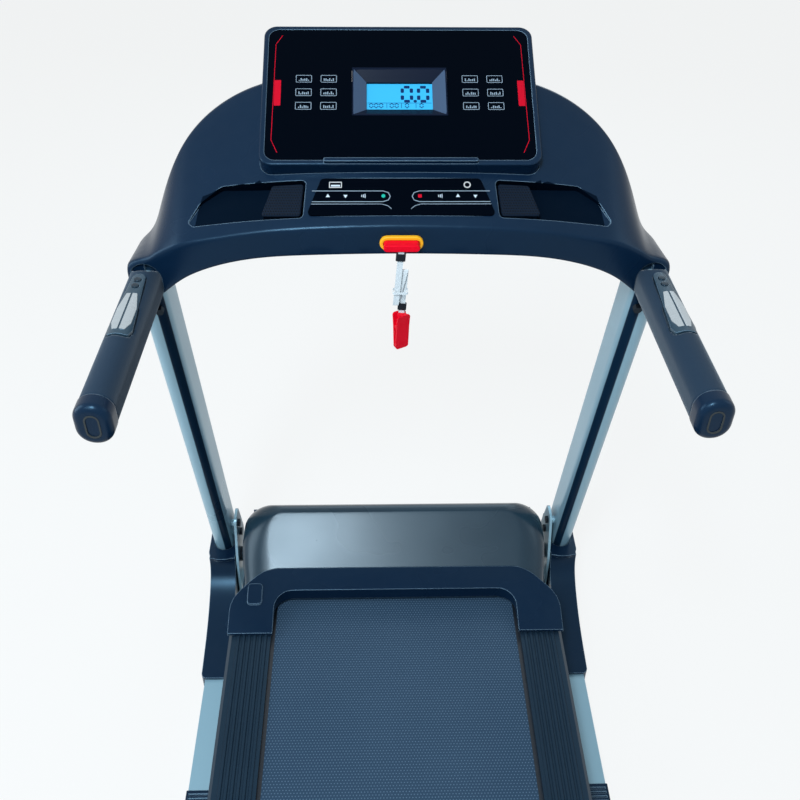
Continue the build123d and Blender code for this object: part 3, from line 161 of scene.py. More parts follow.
# Print on the keypad in millimetres: across from the middle, up the slope of the console
KEYPAD_LOW = 17.0
KEYPAD_OUTLINE = (
    (118.0, 53.0), (24.0, 53.0), (17.0, 50.5), (14.5, 45.0), (17.0, 39.5), (24.0, 37.0), (118.0, 37.0),
)
KEYPAD_OUTLINE_WIDE = 1.0
KEYPAD_CURVE = ((119.0, 33.5), (26.0, 33.5), (18.0, 31.0), (13.0, 26.5))
KEYPAD_CURVE_WIDE = 0.8
SYMBOL_ROW = 45.5
ARROWS = ((-96.9, 0), (-73.7, 180), (75.2, 0), (98.4, 180))
ARROW_RADIUS = 3.2
STAIRS = (-50.0, 51.9)
STAIR_PITCH = 2.2
STAIR_WIDE = 1.0
STAIR_LOW = 3.0
STAIR_RISE = 1.5
START_PLACE = -23.6
START_RADIUS = 2.6
STOP_PLACE = 24.8
STOP = (5.0, 5.0)
STOP_CORNER = 0.8

# Ports over the keypad: places and sizes in millimetres, rises in metres
PORT_ROW = 62.0
USB_PLACE = -87.0
USB_RIM = (17.0, 9.0)
USB_CORNER = 1.0
USB_LINE = 1.2
USB_RISE = 0.0006
TONGUE_ROW = 60.8
TONGUE = (12.0, 2.4)
TONGUE_CORNER = 0.4
TONGUE_RISE = 0.0004
JACK_PLACE = 88.0
JACK_RIM = (9.6, 9.6)
JACK_CORNER = 4.7
JACK_LINE = 1.5
JACK_RISE = 0.0008

# Pale grey of settled dust
DUST = (0.30, 0.33, 0.36)

# Cool tint of the sheen on plastics
COOL_SHEEN = (0.42, 0.74, 1.0)

# Pale blue painted highlight along the edges of moulded covers
EDGE_HIGHLIGHT = (0.280, 0.400, 0.500)

# Shades of single finishes
BELT_DOT = (0.100, 0.155, 0.215)
GRILLE = (0.0020, 0.0075, 0.018)
GRILLE_HOLE = (0.0004, 0.0008, 0.0016)
FOAM = (0.010, 0.024, 0.044)
FOAM_CELL = (0.06, 0.09, 0.13)
BOARD_FILM = (0.010, 0.014, 0.020)
BOARD_EDGE = (0.060, 0.040, 0.024)
# Display bezel: painted shade on its top and bottom slopes, steel blue on its sides
BEZEL_SLOPE_SHADE = (0.004, 0.008, 0.020)
BEZEL_SIDE = (0.060, 0.090, 0.145)
SCREEN_MODULE = (0.012, 0.013, 0.016)
UPRIGHT_METAL = 0.30

# Way that the painted dark reflection strip of an upright looks: inward, to the rear and down
REFLECTION_STRIP_WAY = (-0.50, -0.837, -0.224)

# Reach in metres within which loose corners are joined, and edges count as nothing
JOIN_REACH = 0.000005
EDGE_REACH = 0.000001

# Studio: floor and sky, and lamps by name, place, aim, size and power
FLOOR_HALF = 9.0
FLOOR_GLOW = (0.945, 0.955, 0.952)
FLOOR_GLOW_SHARE = 0.90
SKY = (0.50, 0.68, 0.86)
SKY_STRENGTH = 0.30
LAMP_COLOUR = (0.74, 0.89, 1.0)
LAMPS = (
    ("key_softbox", (-1.1, -1.5, 2.7), (-0.1, 0.3, 0.5), (1.3, 1.0), 22.0),
    ("left_softbox", (-2.6, 0.2, 1.7), (0.0, 0.2, 0.6), (1.2, 2.0), 34.0),
    ("right_softbox", (2.8, 0.4, 2.4), (0.0, 0.2, 0.9), (1.2, 2.0), 9.0),
    ("rear_softbox", (0.3, 3.0, 1.8), (0.0, 0.4, 0.7), (2.4, 1.0), 18.0),
    ("hood_softbox", (-0.52, -1.35, 3.2), (-0.2, 0.55, 0.25), (0.4, 0.9), 84.0),
)


class TreadmillColours(bpy.types.PropertyGroup):
    """Colours of the treadmill's finishes."""

    shell: bpy.props.FloatVectorProperty(
        name="Shell", description="Moulded console, hood and boot covers", subtype="COLOR",
        default=(0.0024, 0.0115, 0.0300),
    )
    silver: bpy.props.FloatVectorProperty(
        name="Silver", description="Painted uprights and floor tubes", subtype="COLOR",
        default=(0.28, 0.43, 0.50),
    )
    # Colour of the painted dark reflection in the strip down each upright
    navy_reflection: bpy.props.FloatVectorProperty(
        name="Navy", description="Dark strip down each upright", subtype="COLOR",
        default=(0.003, 0.016, 0.036),
    )
    belt: bpy.props.FloatVectorProperty(
        name="Belt", description="Running belt", subtype="COLOR", default=(0.019, 0.043, 0.076),
    )
    panel: bpy.props.FloatVectorProperty(
        name="Panel", description="Gloss display panel and keypad", subtype="COLOR",
        default=(0.0004, 0.0014, 0.0038),
    )
    screen: bpy.props.FloatVectorProperty(
        name="Screen", description="Lit display screen", subtype="COLOR", default=(0.042, 0.39, 0.66),
    )
    red: bpy.props.FloatVectorProperty(
        name="Red", description="Safety key, clip and printed accents", subtype="COLOR",
        default=(0.86, 0.0024, 0.016),
    )
    amber: bpy.props.FloatVectorProperty(
        name="Amber", description="Safety key socket", subtype="COLOR", default=(0.98, 0.42, 0.012),
    )
    tape: bpy.props.FloatVectorProperty(
        name="Tape", description="Woven lanyard", subtype="COLOR", default=(0.78, 0.78, 0.77),
    )
    print_line: bpy.props.FloatVectorProperty(
        name="Print", description="Printed key outlines", subtype="COLOR", default=(0.28, 0.33, 0.38),
    )
    floor: bpy.props.FloatVectorProperty(
        name="Floor", description="Studio floor and background", subtype="COLOR",
        default=(0.886, 0.904, 0.904),
    )


class TreadmillSizes(bpy.types.PropertyGroup):
    """Small sizes of the printed and trimmed details."""

    print_height: bpy.props.FloatProperty(
        name="Print height", description="Thickness of printed graphics", default=0.00012, unit="LENGTH",
    )
    smooth_angle: bpy.props.FloatProperty(
        name="Smooth angle", description="Edges flatter than this are shaded smooth", subtype="ANGLE",
        default=math.radians(32),
    )
    foam_voxel: bpy.props.FloatProperty(
        name="Foam detail", description="Voxel size of the foam grips", default=0.0022, unit="LENGTH",
    )


def colours():
    """Current colours."""
    return bpy.context.scene.treadmill_colours


def sizes():
    """Current small sizes."""
    return bpy.context.scene.treadmill_sizes


def new_group(name, inputs, outputs):
    """Shader node group with named float inputs and outputs."""
    group = bpy.data.node_groups.new(name, "ShaderNodeTree")
    for label, default in inputs:
        socket = group.interface.new_socket(label, in_out="INPUT", socket_type="NodeSocketFloat")
        socket.default_value = default
    for label in outputs:
        group.interface.new_socket(label, in_out="OUTPUT", socket_type="NodeSocketFloat")
    source = group.nodes.new("NodeGroupInput")
    sink = group.nodes.new("NodeGroupOutput")
    return group, source, sink


def maths(tree, operation, first, second=None, third=None):
    """Math node fed by sockets or numbers, returning its output socket."""
    node = tree.nodes.new("ShaderNodeMath")
    node.operation = operation
    for index, value in enumerate((first, second, third)):
        if value is None:
            continue
        if isinstance(value, (int, float)):
            node.inputs[index].default_value = value
        else:
            tree.links.new(value, node.inputs[index])
    return node.outputs[0]


def normal_parts(tree):
    """X, Y and Z of the surface normal."""
    surface = tree.nodes.new("ShaderNodeNewGeometry")
    split = tree.nodes.new("ShaderNodeSeparateXYZ")
    tree.links.new(surface.outputs["Normal"], split.inputs[0])
    return split.outputs


def place_parts(tree, kind="Object"):
    """X, Y and Z of a place on the piece."""
    place = tree.nodes.new("ShaderNodeTexCoord")
    split = tree.nodes.new("ShaderNodeSeparateXYZ")
    tree.links.new(place.outputs[kind], split.inputs[0])
    return split.outputs


def grain_group():
    """Fine moulded grain: a height for bump, and a slow tone change."""
    if "moulded_grain" in bpy.data.node_groups:
        return bpy.data.node_groups["moulded_grain"]
    group, source, sink = new_group("moulded_grain", [("Scale", 900.0), ("Patch", 9.0)], ["Height", "Tone"])
    place = group.nodes.new("ShaderNodeTexCoord")
    fine = group.nodes.new("ShaderNodeTexNoise")
    fine.inputs["Detail"].default_value = 3.0
    slow = group.nodes.new("ShaderNodeTexNoise")
    slow.inputs["Detail"].default_value = 2.0
    group.links.new(place.outputs["Object"], fine.inputs["Vector"])
    group.links.new(place.outputs["Object"], slow.inputs["Vector"])
    group.links.new(source.outputs["Scale"], fine.inputs["Scale"])
    group.links.new(source.outputs["Patch"], slow.inputs["Scale"])
    group.links.new(fine.outputs["Fac"], sink.inputs["Height"])
    group.links.new(slow.outputs["Fac"], sink.inputs["Tone"])
    return group


def dust_group():
    """Faint dust that settles on faces that look up."""
    if "settled_dust" in bpy.data.node_groups:
        return bpy.data.node_groups["settled_dust"]
    group, source, sink = new_group("settled_dust", [("Amount", 0.05)], ["Mask"])
    place = group.nodes.new("ShaderNodeTexCoord")
    noise = group.nodes.new("ShaderNodeTexNoise")
    noise.inputs["Scale"].default_value = 60.0
    noise.inputs["Detail"].default_value = 6.0
    group.links.new(place.outputs["Object"], noise.inputs["Vector"])
    upward = maths(group, "MAXIMUM", normal_parts(group)["Z"], 0.0)
    facing = maths(group, "SMOOTH_MIN", upward, 1.0, 0.2)
    mask = maths(group, "MULTIPLY", facing, noise.outputs["Fac"])
    mask = maths(group, "MULTIPLY", mask, source.outputs["Amount"])
    group.links.new(mask, sink.inputs["Mask"])
    return group


def dots_group():
    """Rows of small round dots on the X and Y of the piece."""
    if "dot_rows" in bpy.data.node_groups:
        return bpy.data.node_groups["dot_rows"]
    group, source, sink = new_group("dot_rows", [("Pitch", 0.003), ("Radius", 0.3)], ["Dot"])
    where = place_parts(group)
    row = maths(group, "DIVIDE", where["Y"], source.outputs["Pitch"])
    odd = maths(group, "FLOORED_MODULO", maths(group, "FLOOR", row), 2.0)
    shift = maths(group, "MULTIPLY", odd, 0.5)
    column = maths(group, "ADD", maths(group, "DIVIDE", where["X"], source.outputs["Pitch"]), shift)
    across = maths(group, "SUBTRACT", maths(group, "FRACT", column), 0.5)
    along = maths(group, "SUBTRACT", maths(group, "FRACT", row), 0.5)
    square = maths(group, "MULTIPLY_ADD", across, across, maths(group, "MULTIPLY", along, along))
    reach = maths(group, "SQRT", square)
    inside = maths(group, "SUBTRACT", source.outputs["Radius"], reach)
    dot = maths(group, "MULTIPLY", inside, 8.0)
    clamp = group.nodes.new("ShaderNodeClamp")
    group.links.new(dot, clamp.inputs["Value"])
    group.links.new(clamp.outputs[0], sink.inputs["Dot"])
    return group


def edge_group():
    """Rounded edges: a normal that turns over the edge, and a mask of where it leaves the true normal, for
    the painted edge highlight.
    """
    if "rounded_edge" in bpy.data.node_groups:
        return bpy.data.node_groups["rounded_edge"]
    group, source, sink = new_group("rounded_edge", [("Radius", 0.002)], ["Mask"])
    group.interface.new_socket("Normal", in_out="OUTPUT", socket_type="NodeSocketVector")
    soft = group.nodes.new("ShaderNodeBevel")
    soft.samples = 6
    surface = group.nodes.new("ShaderNodeNewGeometry")
    match = group.nodes.new("ShaderNodeVectorMath")
    match.operation = "DOT_PRODUCT"
    group.links.new(source.outputs["Radius"], soft.inputs["Radius"])
    group.links.new(soft.outputs[0], match.inputs[0])
    group.links.new(surface.outputs["Normal"], match.inputs[1])
    bend = maths(group, "MULTIPLY", maths(group, "SUBTRACT", 0.965, match.outputs["Value"]), 4.0)
    mask = maths(group, "MINIMUM", maths(group, "MAXIMUM", bend, 0.0), 0.75)
    group.links.new(mask, sink.inputs["Mask"])
    group.links.new(soft.outputs[0], sink.inputs["Normal"])
    return group


def place_group(tree, group, **values):
    """Put a node group in a material with its own values."""
    node = tree.nodes.new("ShaderNodeGroup")
    node.node_tree = group
    for label, value in values.items():
        node.inputs[label.title()].default_value = value
    return node


def plain(name, colour, roughness, metallic=0.0, gleam=0.5):
    """Principled material with constant values."""
    material = bpy.data.materials.new(name)
    material.use_nodes = True
    shader = material.node_tree.nodes["Principled BSDF"]
    shader.inputs["Base Color"].default_value = (*colour, 1.0)
    shader.inputs["Roughness"].default_value = roughness
    shader.inputs["Metallic"].default_value = metallic
    shader.inputs["Specular IOR Level"].default_value = gleam
    return material, material.node_tree, shader


def two_tones(tree, shader, mask, first, second):
    """Feed the base colour with a mix by a mask: a colour or a socket, and a colour over it."""
    mix = tree.nodes.new("ShaderNodeMix")
    mix.data_type = "RGBA"
    tree.links.new(mask, mix.inputs[0])
    if isinstance(first, tuple):
        mix.inputs[6].default_value = (*first, 1.0)
    else:
        tree.links.new(first, mix.inputs[6])
    mix.inputs[7].default_value = (*second, 1.0)
    tree.links.new(mix.outputs[2], shader.inputs["Base Color"])
    return mix.outputs[2]


def bump(tree, shader, height, strength, distance):
    """Bump the surface from a height socket."""
    node = tree.nodes.new("ShaderNodeBump")
    node.inputs["Strength"].default_value = strength
    node.inputs["Distance"].default_value = distance
    tree.links.new(height, node.inputs["Height"])
    tree.links.new(node.outputs[0], shader.inputs["Normal"])
    return node


def round_edges_with_painted_highlight(tree, shader, relief, radius):
    """Round the edges under a bump, and mix a pale painted highlight into the base colour along them."""
    rounded = place_group(tree, edge_group(), radius=radius)
    tree.links.new(rounded.outputs["Normal"], relief.inputs["Normal"])
    under = shader.inputs["Base Color"].links[0].from_socket
    two_tones(tree, shader, rounded.outputs["Mask"], under, EDGE_HIGHLIGHT)


def scaled(colour, share):
    """A colour with all its parts taken a share lighter or darker."""
    return tuple(part * share for part in colour)


def grained(
    name, colour, roughness, metallic=0.0, scale=900.0, strength=0.08, spread=0.14, edge=0.0, dust=0.012,
    gleam=0.2, sheen=COOL_SHEEN,
):
    """Grained finish with a slow change of tone and roughness and a little dust."""
    material, tree, shader = plain(name, colour, roughness, metallic, gleam)
    shader.inputs["Specular Tint"].default_value = (*sheen, 1.0)
    grain = place_group(tree, grain_group(), scale=scale, patch=7.0)
    tones = two_tones(
        tree, shader, grain.outputs["Tone"], scaled(colour, 1.0 - spread), scaled(colour, 1.0 + spread)
    )
    settled = place_group(tree, dust_group(), amount=dust)
    two_tones(tree, shader, settled.outputs["Mask"], tones, DUST)
    rough = maths(tree, "MULTIPLY_ADD", grain.outputs["Tone"], 0.12, roughness - 0.06)
    tree.links.new(rough, shader.inputs["Roughness"])
    relief = bump(tree, shader, grain.outputs["Height"], strength, 0.0004)
    # Painted highlight along rounded edges
    if edge:
        round_edges_with_painted_highlight(tree, shader, relief, edge)
    return material


def inked(name, colour, roughness=0.35):
    """Printed ink with a faint change of tone."""
    return grained(name, colour, roughness, scale=1500.0, strength=0.01, spread=0.06, dust=0.0, gleam=0.1)


def upright_paint():
    """Silver paint with a painted dark reflection strip down the inner rear of each upright."""
    silver = tuple(colours().silver)
    material, tree, shader = plain("silver_upright", silver, 0.34, UPRIGHT_METAL, 0.12)
    normal = normal_parts(tree)
    side = maths(tree, "SIGN", place_parts(tree)["X"])
    inward = maths(tree, "MULTIPLY", maths(tree, "MULTIPLY", side, normal["X"]), REFLECTION_STRIP_WAY[0])
    rear = maths(tree, "MULTIPLY_ADD", normal["Y"], REFLECTION_STRIP_WAY[1], inward)
    rear = maths(tree, "MULTIPLY_ADD", normal["Z"], REFLECTION_STRIP_WAY[2], rear)
    # Painted dark reflection: a dark, non-metal strip where the normal faces the rear and inward
    strip = tree.nodes.new("ShaderNodeMapRange")
    strip.inputs["From Min"].default_value = 0.915
    strip.inputs["From Max"].default_value = 0.940
    tree.links.new(rear, strip.inputs["Value"])
    two_tones(tree, shader, strip.outputs[0], silver, tuple(colours().navy_reflection))
    metal = maths(tree, "MULTIPLY_ADD", strip.outputs[0], -UPRIGHT_METAL, UPRIGHT_METAL)
    tree.links.new(metal, shader.inputs["Metallic"])
    grain = place_group(tree, grain_group(), scale=1500.0, patch=5.0)
    rough = maths(tree, "MULTIPLY_ADD", grain.outputs["Tone"], 0.12, 0.24)
    tree.links.new(rough, shader.inputs["Roughness"])
    bump(tree, shader, grain.outputs["Height"], 0.03, 0.0003)
    return material


def belt_rubber():
    """Dark belt with fine rows of dots."""
    base = tuple(colours().belt)
    material, tree, shader = plain("belt_rubber", base, 0.55, gleam=0.15)
    dots = place_group(tree, dots_group(), pitch=0.0052, radius=0.27)
    grain = place_group(tree, grain_group(), scale=420.0, patch=4.0)
    worn = maths(tree, "MULTIPLY", grain.outputs["Tone"], 0.18)
    mask = maths(tree, "MULTIPLY_ADD", dots.outputs["Dot"], 0.75, worn)
    two_tones(tree, shader, mask, base, BELT_DOT)
    bump(tree, shader, dots.outputs["Dot"], 0.25, 0.0004)
    return material


def speaker_cloth():
    """Dark grille with rows of holes."""
    material, tree, shader = plain("speaker_grille", GRILLE, 0.5, gleam=0.10)
    dots = place_group(tree, dots_group(), pitch=0.0034, radius=0.34)
    two_tones(tree, shader, dots.outputs["Dot"], GRILLE, GRILLE_HOLE)
    deep = maths(tree, "MULTIPLY", dots.outputs["Dot"], -1.0)
    bump(tree, shader, deep, 0.5, 0.0008)
    return material


def foam_skin():
    """Matt dark foam with fine open cells."""
    material, tree, shader = plain("grip_foam", FOAM, 0.82, gleam=0.15)
    grain = place_group(tree, grain_group(), scale=700.0, patch=12.0)
    mask = maths(tree, "MULTIPLY", grain.outputs["Height"], 0.16)
    two_tones(tree, shader, mask, FOAM, FOAM_CELL)
    shader.inputs["Sheen Weight"].default_value = 0.25
    shader.inputs["Sheen Roughness"].default_value = 0.4
    bump(tree, shader, grain.outputs["Height"], 0.35, 0.0006)
    return material


def brushed(name, colour, roughness, stretch, metallic=1.0):
    """Metal with fine lines along one axis."""
    material, tree, shader = plain(name, colour, roughness, metallic)
    place = tree.nodes.new("ShaderNodeTexCoord")
    turn = tree.nodes.new("ShaderNodeMapping")
    turn.inputs["Scale"].default_value = stretch
    noise = tree.nodes.new("ShaderNodeTexNoise")
    noise.inputs["Scale"].default_value = 60.0
    tree.links.new(place.outputs["Object"], turn.inputs["Vector"])
    tree.links.new(turn.outputs[0], noise.inputs["Vector"])
    rough = maths(tree, "MULTIPLY_ADD", noise.outputs["Fac"], 0.22, roughness - 0.1)
    tree.links.new(rough, shader.inputs["Roughness"])
    two_tones(tree, shader, noise.outputs["Fac"], colour, scaled(colour, 0.78))
    return material


def board_film():
    """Waxed black film on top of the running board, brown at its edges and below."""
    material, tree, shader = plain("board_film", BOARD_FILM, 0.35)
    upward = maths(tree, "GREATER_THAN", normal_parts(tree)["Z"], 0.7)
    two_tones(tree, shader, upward, BOARD_EDGE, BOARD_FILM)
    grain = place_group(tree, grain_group(), scale=200.0, patch=6.0)
    bump(tree, shader, grain.outputs["Height"], 0.05, 0.0003)
    return material


def bezel_shaded_by_facing():
    """Display bezel: painted shade darkening the top and bottom slopes, steel-blue side slopes."""
    material, tree, shader = plain("bezel_blue", BEZEL_SIDE, 0.25, gleam=0.05)
    side = maths(tree, "GREATER_THAN", maths(tree, "ABSOLUTE", normal_parts(tree)["X"]), 0.2)
    two_tones(tree, shader, side, BEZEL_SLOPE_SHADE, BEZEL_SIDE)
    return material


def woven_tape():
    """White woven tape, ribs across and along its UV map."""
    colour = tuple(colours().tape)
    material, tree, shader = plain("woven_tape", colour, 0.85)
    where = place_parts(tree, "UV")
    across = maths(tree, "SINE", maths(tree, "MULTIPLY", where["X"], 44.0))
    along = maths(tree, "SINE", maths(tree, "MULTIPLY", where["Y"], 5200.0))
    weave = maths(tree, "MULTIPLY_ADD", maths(tree, "MULTIPLY", across, along), 0.5, 0.5)
    two_tones(tree, shader, weave, scaled(colour, 0.82), colour)
    shader.inputs["Sheen Weight"].default_value = 0.3
    bump(tree, shader, weave, 0.4, 0.0003)
    return material


def slope_axes(tilt):
    """Ways up along a slope of the console and out of it."""
    turn = math.radians(tilt)
    up = Vector((0.0, math.cos(turn), math.sin(turn)))
    out = Vector((0.0, -math.sin(turn), math.cos(turn)))
    return up, out


def lit_screen():
    """Cyan screen with a little light of its own, on a module that is dark elsewhere."""
    colour = tuple(colours().screen)
    material, tree, shader = plain("screen_cyan", colour, 0.35, gleam=0.12)
    surface = tree.nodes.new("ShaderNodeNewGeometry")
    facing = tree.nodes.new("ShaderNodeVectorMath")
    facing.operation = "DOT_PRODUCT"
    facing.inputs[1].default_value = slope_axes(DISPLAY_TILT)[1]
    tree.links.new(surface.outputs["Normal"], facing.inputs[0])
    front = maths(tree, "GREATER_THAN", facing.outputs["Value"], 0.9)
    glow = tree.nodes.new("ShaderNodeMix")
    glow.data_type = "RGBA"
    tree.links.new(front, glow.inputs[0])
    glow.inputs[6].default_value = (0.0, 0.0, 0.0, 1.0)
    glow.inputs[7].default_value = (*colour, 1.0)
    tree.links.new(glow.outputs[2], shader.inputs["Emission Color"])
    shader.inputs["Emission Strength"].default_value = 0.16
    two_tones(tree, shader, front, SCREEN_MODULE, colour)
    grain = place_group(tree, grain_group(), scale=300.0, patch=14.0)
    rough = maths(tree, "MULTIPLY_ADD", grain.outputs["Tone"], 0.10, 0.30)
    tree.links.new(rough, shader.inputs["Roughness"])
    return material


def slot_finishes():
    """A finish for each material slot of the record."""
    shell = grained(
        "shell_plastic", tuple(colours().shell), 0.27, scale=1100.0, strength=0.05, edge=0.0024, gleam=0.24
    )
    gloss = grained(
        "panel_gloss", tuple(colours().panel), 0.12, strength=0.0, spread=0.05, dust=0.0, gleam=0.02
    )
    rails = grained("rail_plastic", (0.006, 0.015, 0.027), 0.36, scale=500.0, strength=0.12, gleam=0.35)
    return {
        "frame_metal": upright_paint(),
        "deck_metal": grained("deck_steel", (0.020, 0.022, 0.026), 0.42, 0.3),
        "shell_plastic": shell,
        "rail_plastic": rails,
        "panel_gloss": gloss,
        "bezel_blue": bezel_shaded_by_facing(),
        "lcd_face": lit_screen(),
        "grille_black": speaker_cloth(),
        "foam": foam_skin(),
        "pulse_metal": brushed("pulse_plate", (0.56, 0.61, 0.64), 0.18, (1.0, 12.0, 1.0), 0.75),
        "black_steel": grained("black_steel", (0.012, 0.013, 0.016), 0.38, 0.4),
        "bright_steel": brushed("bright_steel", (0.58, 0.59, 0.61), 0.30, (0.2, 8.0, 8.0)),
        "belt_rubber": belt_rubber(),
        "board_wood": board_film(),
        "soft_rubber": grained("soft_rubber", (0.005, 0.014, 0.030), 0.62, scale=400.0, strength=0.25),
        "socket_yellow": grained("socket_amber", tuple(colours().amber), 0.34),
        "key_red": grained("key_red", tuple(colours().red), 0.34, spread=0.06, gleam=0.06),
        "tape_white": woven_tape(),
        "sleeve_black": grained("sleeve_black", (0.012, 0.012, 0.014), 0.45),
        "key_grey": grained("quick_key", (0.006, 0.012, 0.020), 0.24, edge=0.0012, gleam=0.4),
        "sink_metal": brushed("sink_metal", (0.55, 0.56, 0.58), 0.40, (1.0, 1.0, 6.0)),
        "inlet_black": grained("inlet_black", (0.014, 0.014, 0.016), 0.50),
        "board_green": grained("board_green", (0.02, 0.10, 0.05), 0.40),
    }


def body_of(node):
    """Body that a node rides on."""
    return frame["nodes"][node]["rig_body"]


def slot_of(node):
    """Material slot of a node."""
    return {part["node"]: part["material_slot"] for part in frame["record"]["subparts"]}[node]


def add_object(name, data):
    """Object in the scene's collection."""
    piece = bpy.data.objects.new(name, data)
    bpy.context.scene.collection.objects.link(piece)
    return piece


def mesh_from(form, name):
    """Mesh of a finished form."""
    mesh = bpy.data.meshes.new(name)
    form.to_mesh(mesh)
    form.free()
    return mesh


def merged_mesh(node):
    """Copy of a node's mesh with its loose triangles joined."""
    mesh = frame["nodes"][node].data.copy()
    mesh.name = node + "_dressed"
    form = bmesh.new()
    form.from_mesh(mesh)
    bmesh.ops.remove_doubles(form, verts=form.verts, dist=JOIN_REACH)
    bmesh.ops.dissolve_degenerate(form, edges=form.edges, dist=EDGE_REACH)
    form.to_mesh(mesh)
    form.free()
    return mesh


def settle(piece, node, material):
    """Give a replacing piece its material and body, and hide the node it replaces."""
    piece.data.materials.clear()
    piece.data.materials.append(material)
    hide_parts(node)
    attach(piece, body_of(node))
    return piece


def dressed_copy(node, material):
    """Smooth-shaded copy of a node in its finish."""
    mesh = merged_mesh(node)
    if "custom_normal" in mesh.attributes:
        mesh.attributes.remove(mesh.attributes["custom_normal"])
    mesh.shade_smooth()
    mesh.set_sharp_from_angle(angle=sizes().smooth_angle)
    return settle(add_object(node + "_dressed", mesh), node, material)


def shade_trays(shell, material):
    """Paint shade on the walls and floors of the two trays with a darker finish of their own."""
    up, out = slope_axes(KEYPAD_TILT)
    pods = [vertex.co for vertex in frame["nodes"]["speaker_grilles"].data.vertices]
    low, high = (pick(point.dot(up) for point in pods) for pick in (min, max))
    top = max(vertex.co.dot(out) for vertex in frame["nodes"]["keypad_overlay"].data.vertices)
    shell.data.materials.append(material)
    for face in shell.data.polygons:
        sunk = top - face.center.dot(out)
        across = abs(face.center.x)
        along = face.center.dot(up)
        deep = TRAY_SUNK < sunk < TRAY_REACH and face.normal.dot(out) > TRAY_FACING
        beside = low - TRAY_EDGE < along < high + TRAY_EDGE and TRAY_INNER < across < TRAY_OUTER
        if deep and beside:
            face.material_index = 1


def face_place(node, tilt):
    """Matrix on the upper face of a tilted node: X right, Y up the slope, Z out, from its lower edge."""
    up, out = slope_axes(tilt)
    points = [vertex.co for vertex in frame["nodes"][node].data.vertices]
    height = max(point.dot(out) for point in points)
    low = min(point.dot(up) for point in points)
    origin = up * low + out * height
    return Matrix.Translation(origin) @ Matrix.Rotation(math.radians(tilt), 4, "X")


def join(form, part):
    """Add a finished part to a form."""
    mesh = mesh_from(part, "part")
    form.from_mesh(mesh)
    bpy.data.meshes.remove(mesh)


def plate_part(centre, size, radius=0.0, turn=0.0):
    """Flat rounded rectangle, sizes in millimetres, as a part of its own."""
    part = bmesh.new()
    made = bmesh.ops.create_grid(part, x_segments=1, y_segments=1, size=0.5)
    bmesh.ops.scale(part, verts=made["verts"], vec=(size[0] * MM, size[1] * MM, 1.0))
    if radius:
        bmesh.ops.bevel(
            part, geom=made["verts"], offset=radius * MM, segments=6, profile=0.5, affect="VERTICES",
            material=-1,
        )
    place = Matrix.Translation((centre[0] * MM, centre[1] * MM, 0.0))
    part.transform(place @ Matrix.Rotation(turn, 4, "Z"))
    return part


def add_plate(form, centre, size, radius=0.0, turn=0.0):
    """Flat rounded rectangle."""
    join(form, plate_part(centre, size, radius, turn))


def add_ring(form, centre, size, radius, width):
    """Flat rounded outline of a given line width."""
    part = plate_part(centre, size, radius)
    made = bmesh.ops.inset_region(
        part, faces=list(part.faces), thickness=width * MM, use_even_offset=True, use_boundary=True,
    )
    rim = set(made["faces"])
    bmesh.ops.delete(part, geom=[face for face in part.faces if face not in rim], context="FACES")
    join(form, part)


def add_disc(form, centre, radius, segments=28, turn=0.0):
    """Flat disc or regular polygon."""
    part = bmesh.new()
    bmesh.ops.create_circle(part, cap_ends=True, segments=segments, radius=radius * MM)
    place = Matrix.Translation((centre[0] * MM, centre[1] * MM, 0.0))
    part.transform(place @ Matrix.Rotation(turn, 4, "Z"))
    join(form, part)


def add_stroke(form, points, width):
    """Flat line through points, made of overlapping bars with round joints."""
    for start, end in zip(points, points[1:]):
        run = Vector(end) - Vector(start)
        middle = (Vector(start) + Vector(end)) / 2
        add_plate(form, middle, (run.length, width), 0.0, math.atan2(run.y, run.x))
    for point in points[1:-1]:
        add_disc(form, point, width / 2, segments=12)


def raise_print(form, height):
    """Give flat faces a thickness upwards from the plane."""
    for face in form.faces:
        face.normal_update()
        if face.normal.z < 0:
            face.normal_flip()
    made = bmesh.ops.extrude_face_region(form, geom=list(form.faces))
    top = [item for item in made["geom"] if isinstance(item, bmesh.types.BMVert)]
    bmesh.ops.translate(form, verts=top, vec=(0.0, 0.0, height))
    bmesh.ops.recalc_face_normals(form, faces=form.faces)


def printed(name, form, place, material, height=None, body="stand"):
    """Turn flat shapes into a thin raised piece on a tilted face."""
    raise_print(form, sizes().print_height if height is None else height)
    form.transform(place)
    piece = add_object(name, mesh_from(form, name))
    piece.data.materials.append(material)
    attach(piece, body)
    return piece


def add_zero(form, corner, size, stroke):
    """Seven-segment zero with its lower left corner at a point."""
    wide, tall = size
    half = tall / 2
    level = (wide - stroke, stroke)
    upright = (stroke, half - stroke)
    bars = (
        (wide / 2, tall, level),
        (wide, half * 1.5, upright),
        (wide, half * 0.5, upright),
        (wide / 2, 0.0, level),
        (0.0, half * 0.5, upright),
        (0.0, half * 1.5, upright),
    )
    for x, y, bar in bars:
        add_plate(form, (corner[0] + x, corner[1] + y), bar, min(bar) * 0.3)


class TREADMILL_OT_finishes(bpy.types.Operator):
    """Give every node of the frame its finish, on a smooth copy."""

    bl_idname = "treadmill.finishes"
    bl_label = "Finishes"

    def execute(self, context):
        finishes = slot_finishes()
        hood = grained(
            "hood_satin", (0.008, 0.026, 0.042), 0.28, scale=1300.0, strength=0.04, gleam=0.36,
            sheen=(0.86, 0.95, 1.0),
        )
        pulse = grained("pulse_satin", (0.020, 0.040, 0.058), 0.26, edge=0.0014, gleam=0.6)
        own = {"hood_cover": hood, "pulse_housing_left": pulse, "pulse_housing_right": pulse}
        skipped = {"lanyard", "grip_left", "grip_right"}
        for node in sorted(frame["nodes"]):
            if node not in skipped:
                dressed_copy(node, own.get(node, finishes[slot_of(node)]))
        # Painted shade in the deep trays: the shell colour darkened to a share of 0.35
        tray_shade = grained("tray_painted_shade", scaled(tuple(colours().shell), 0.35), 0.45, gleam=0.03, dust=0.004)
        shade_trays(bpy.data.objects["console_shell_dressed"], tray_shade)
        return {"FINISHED"}


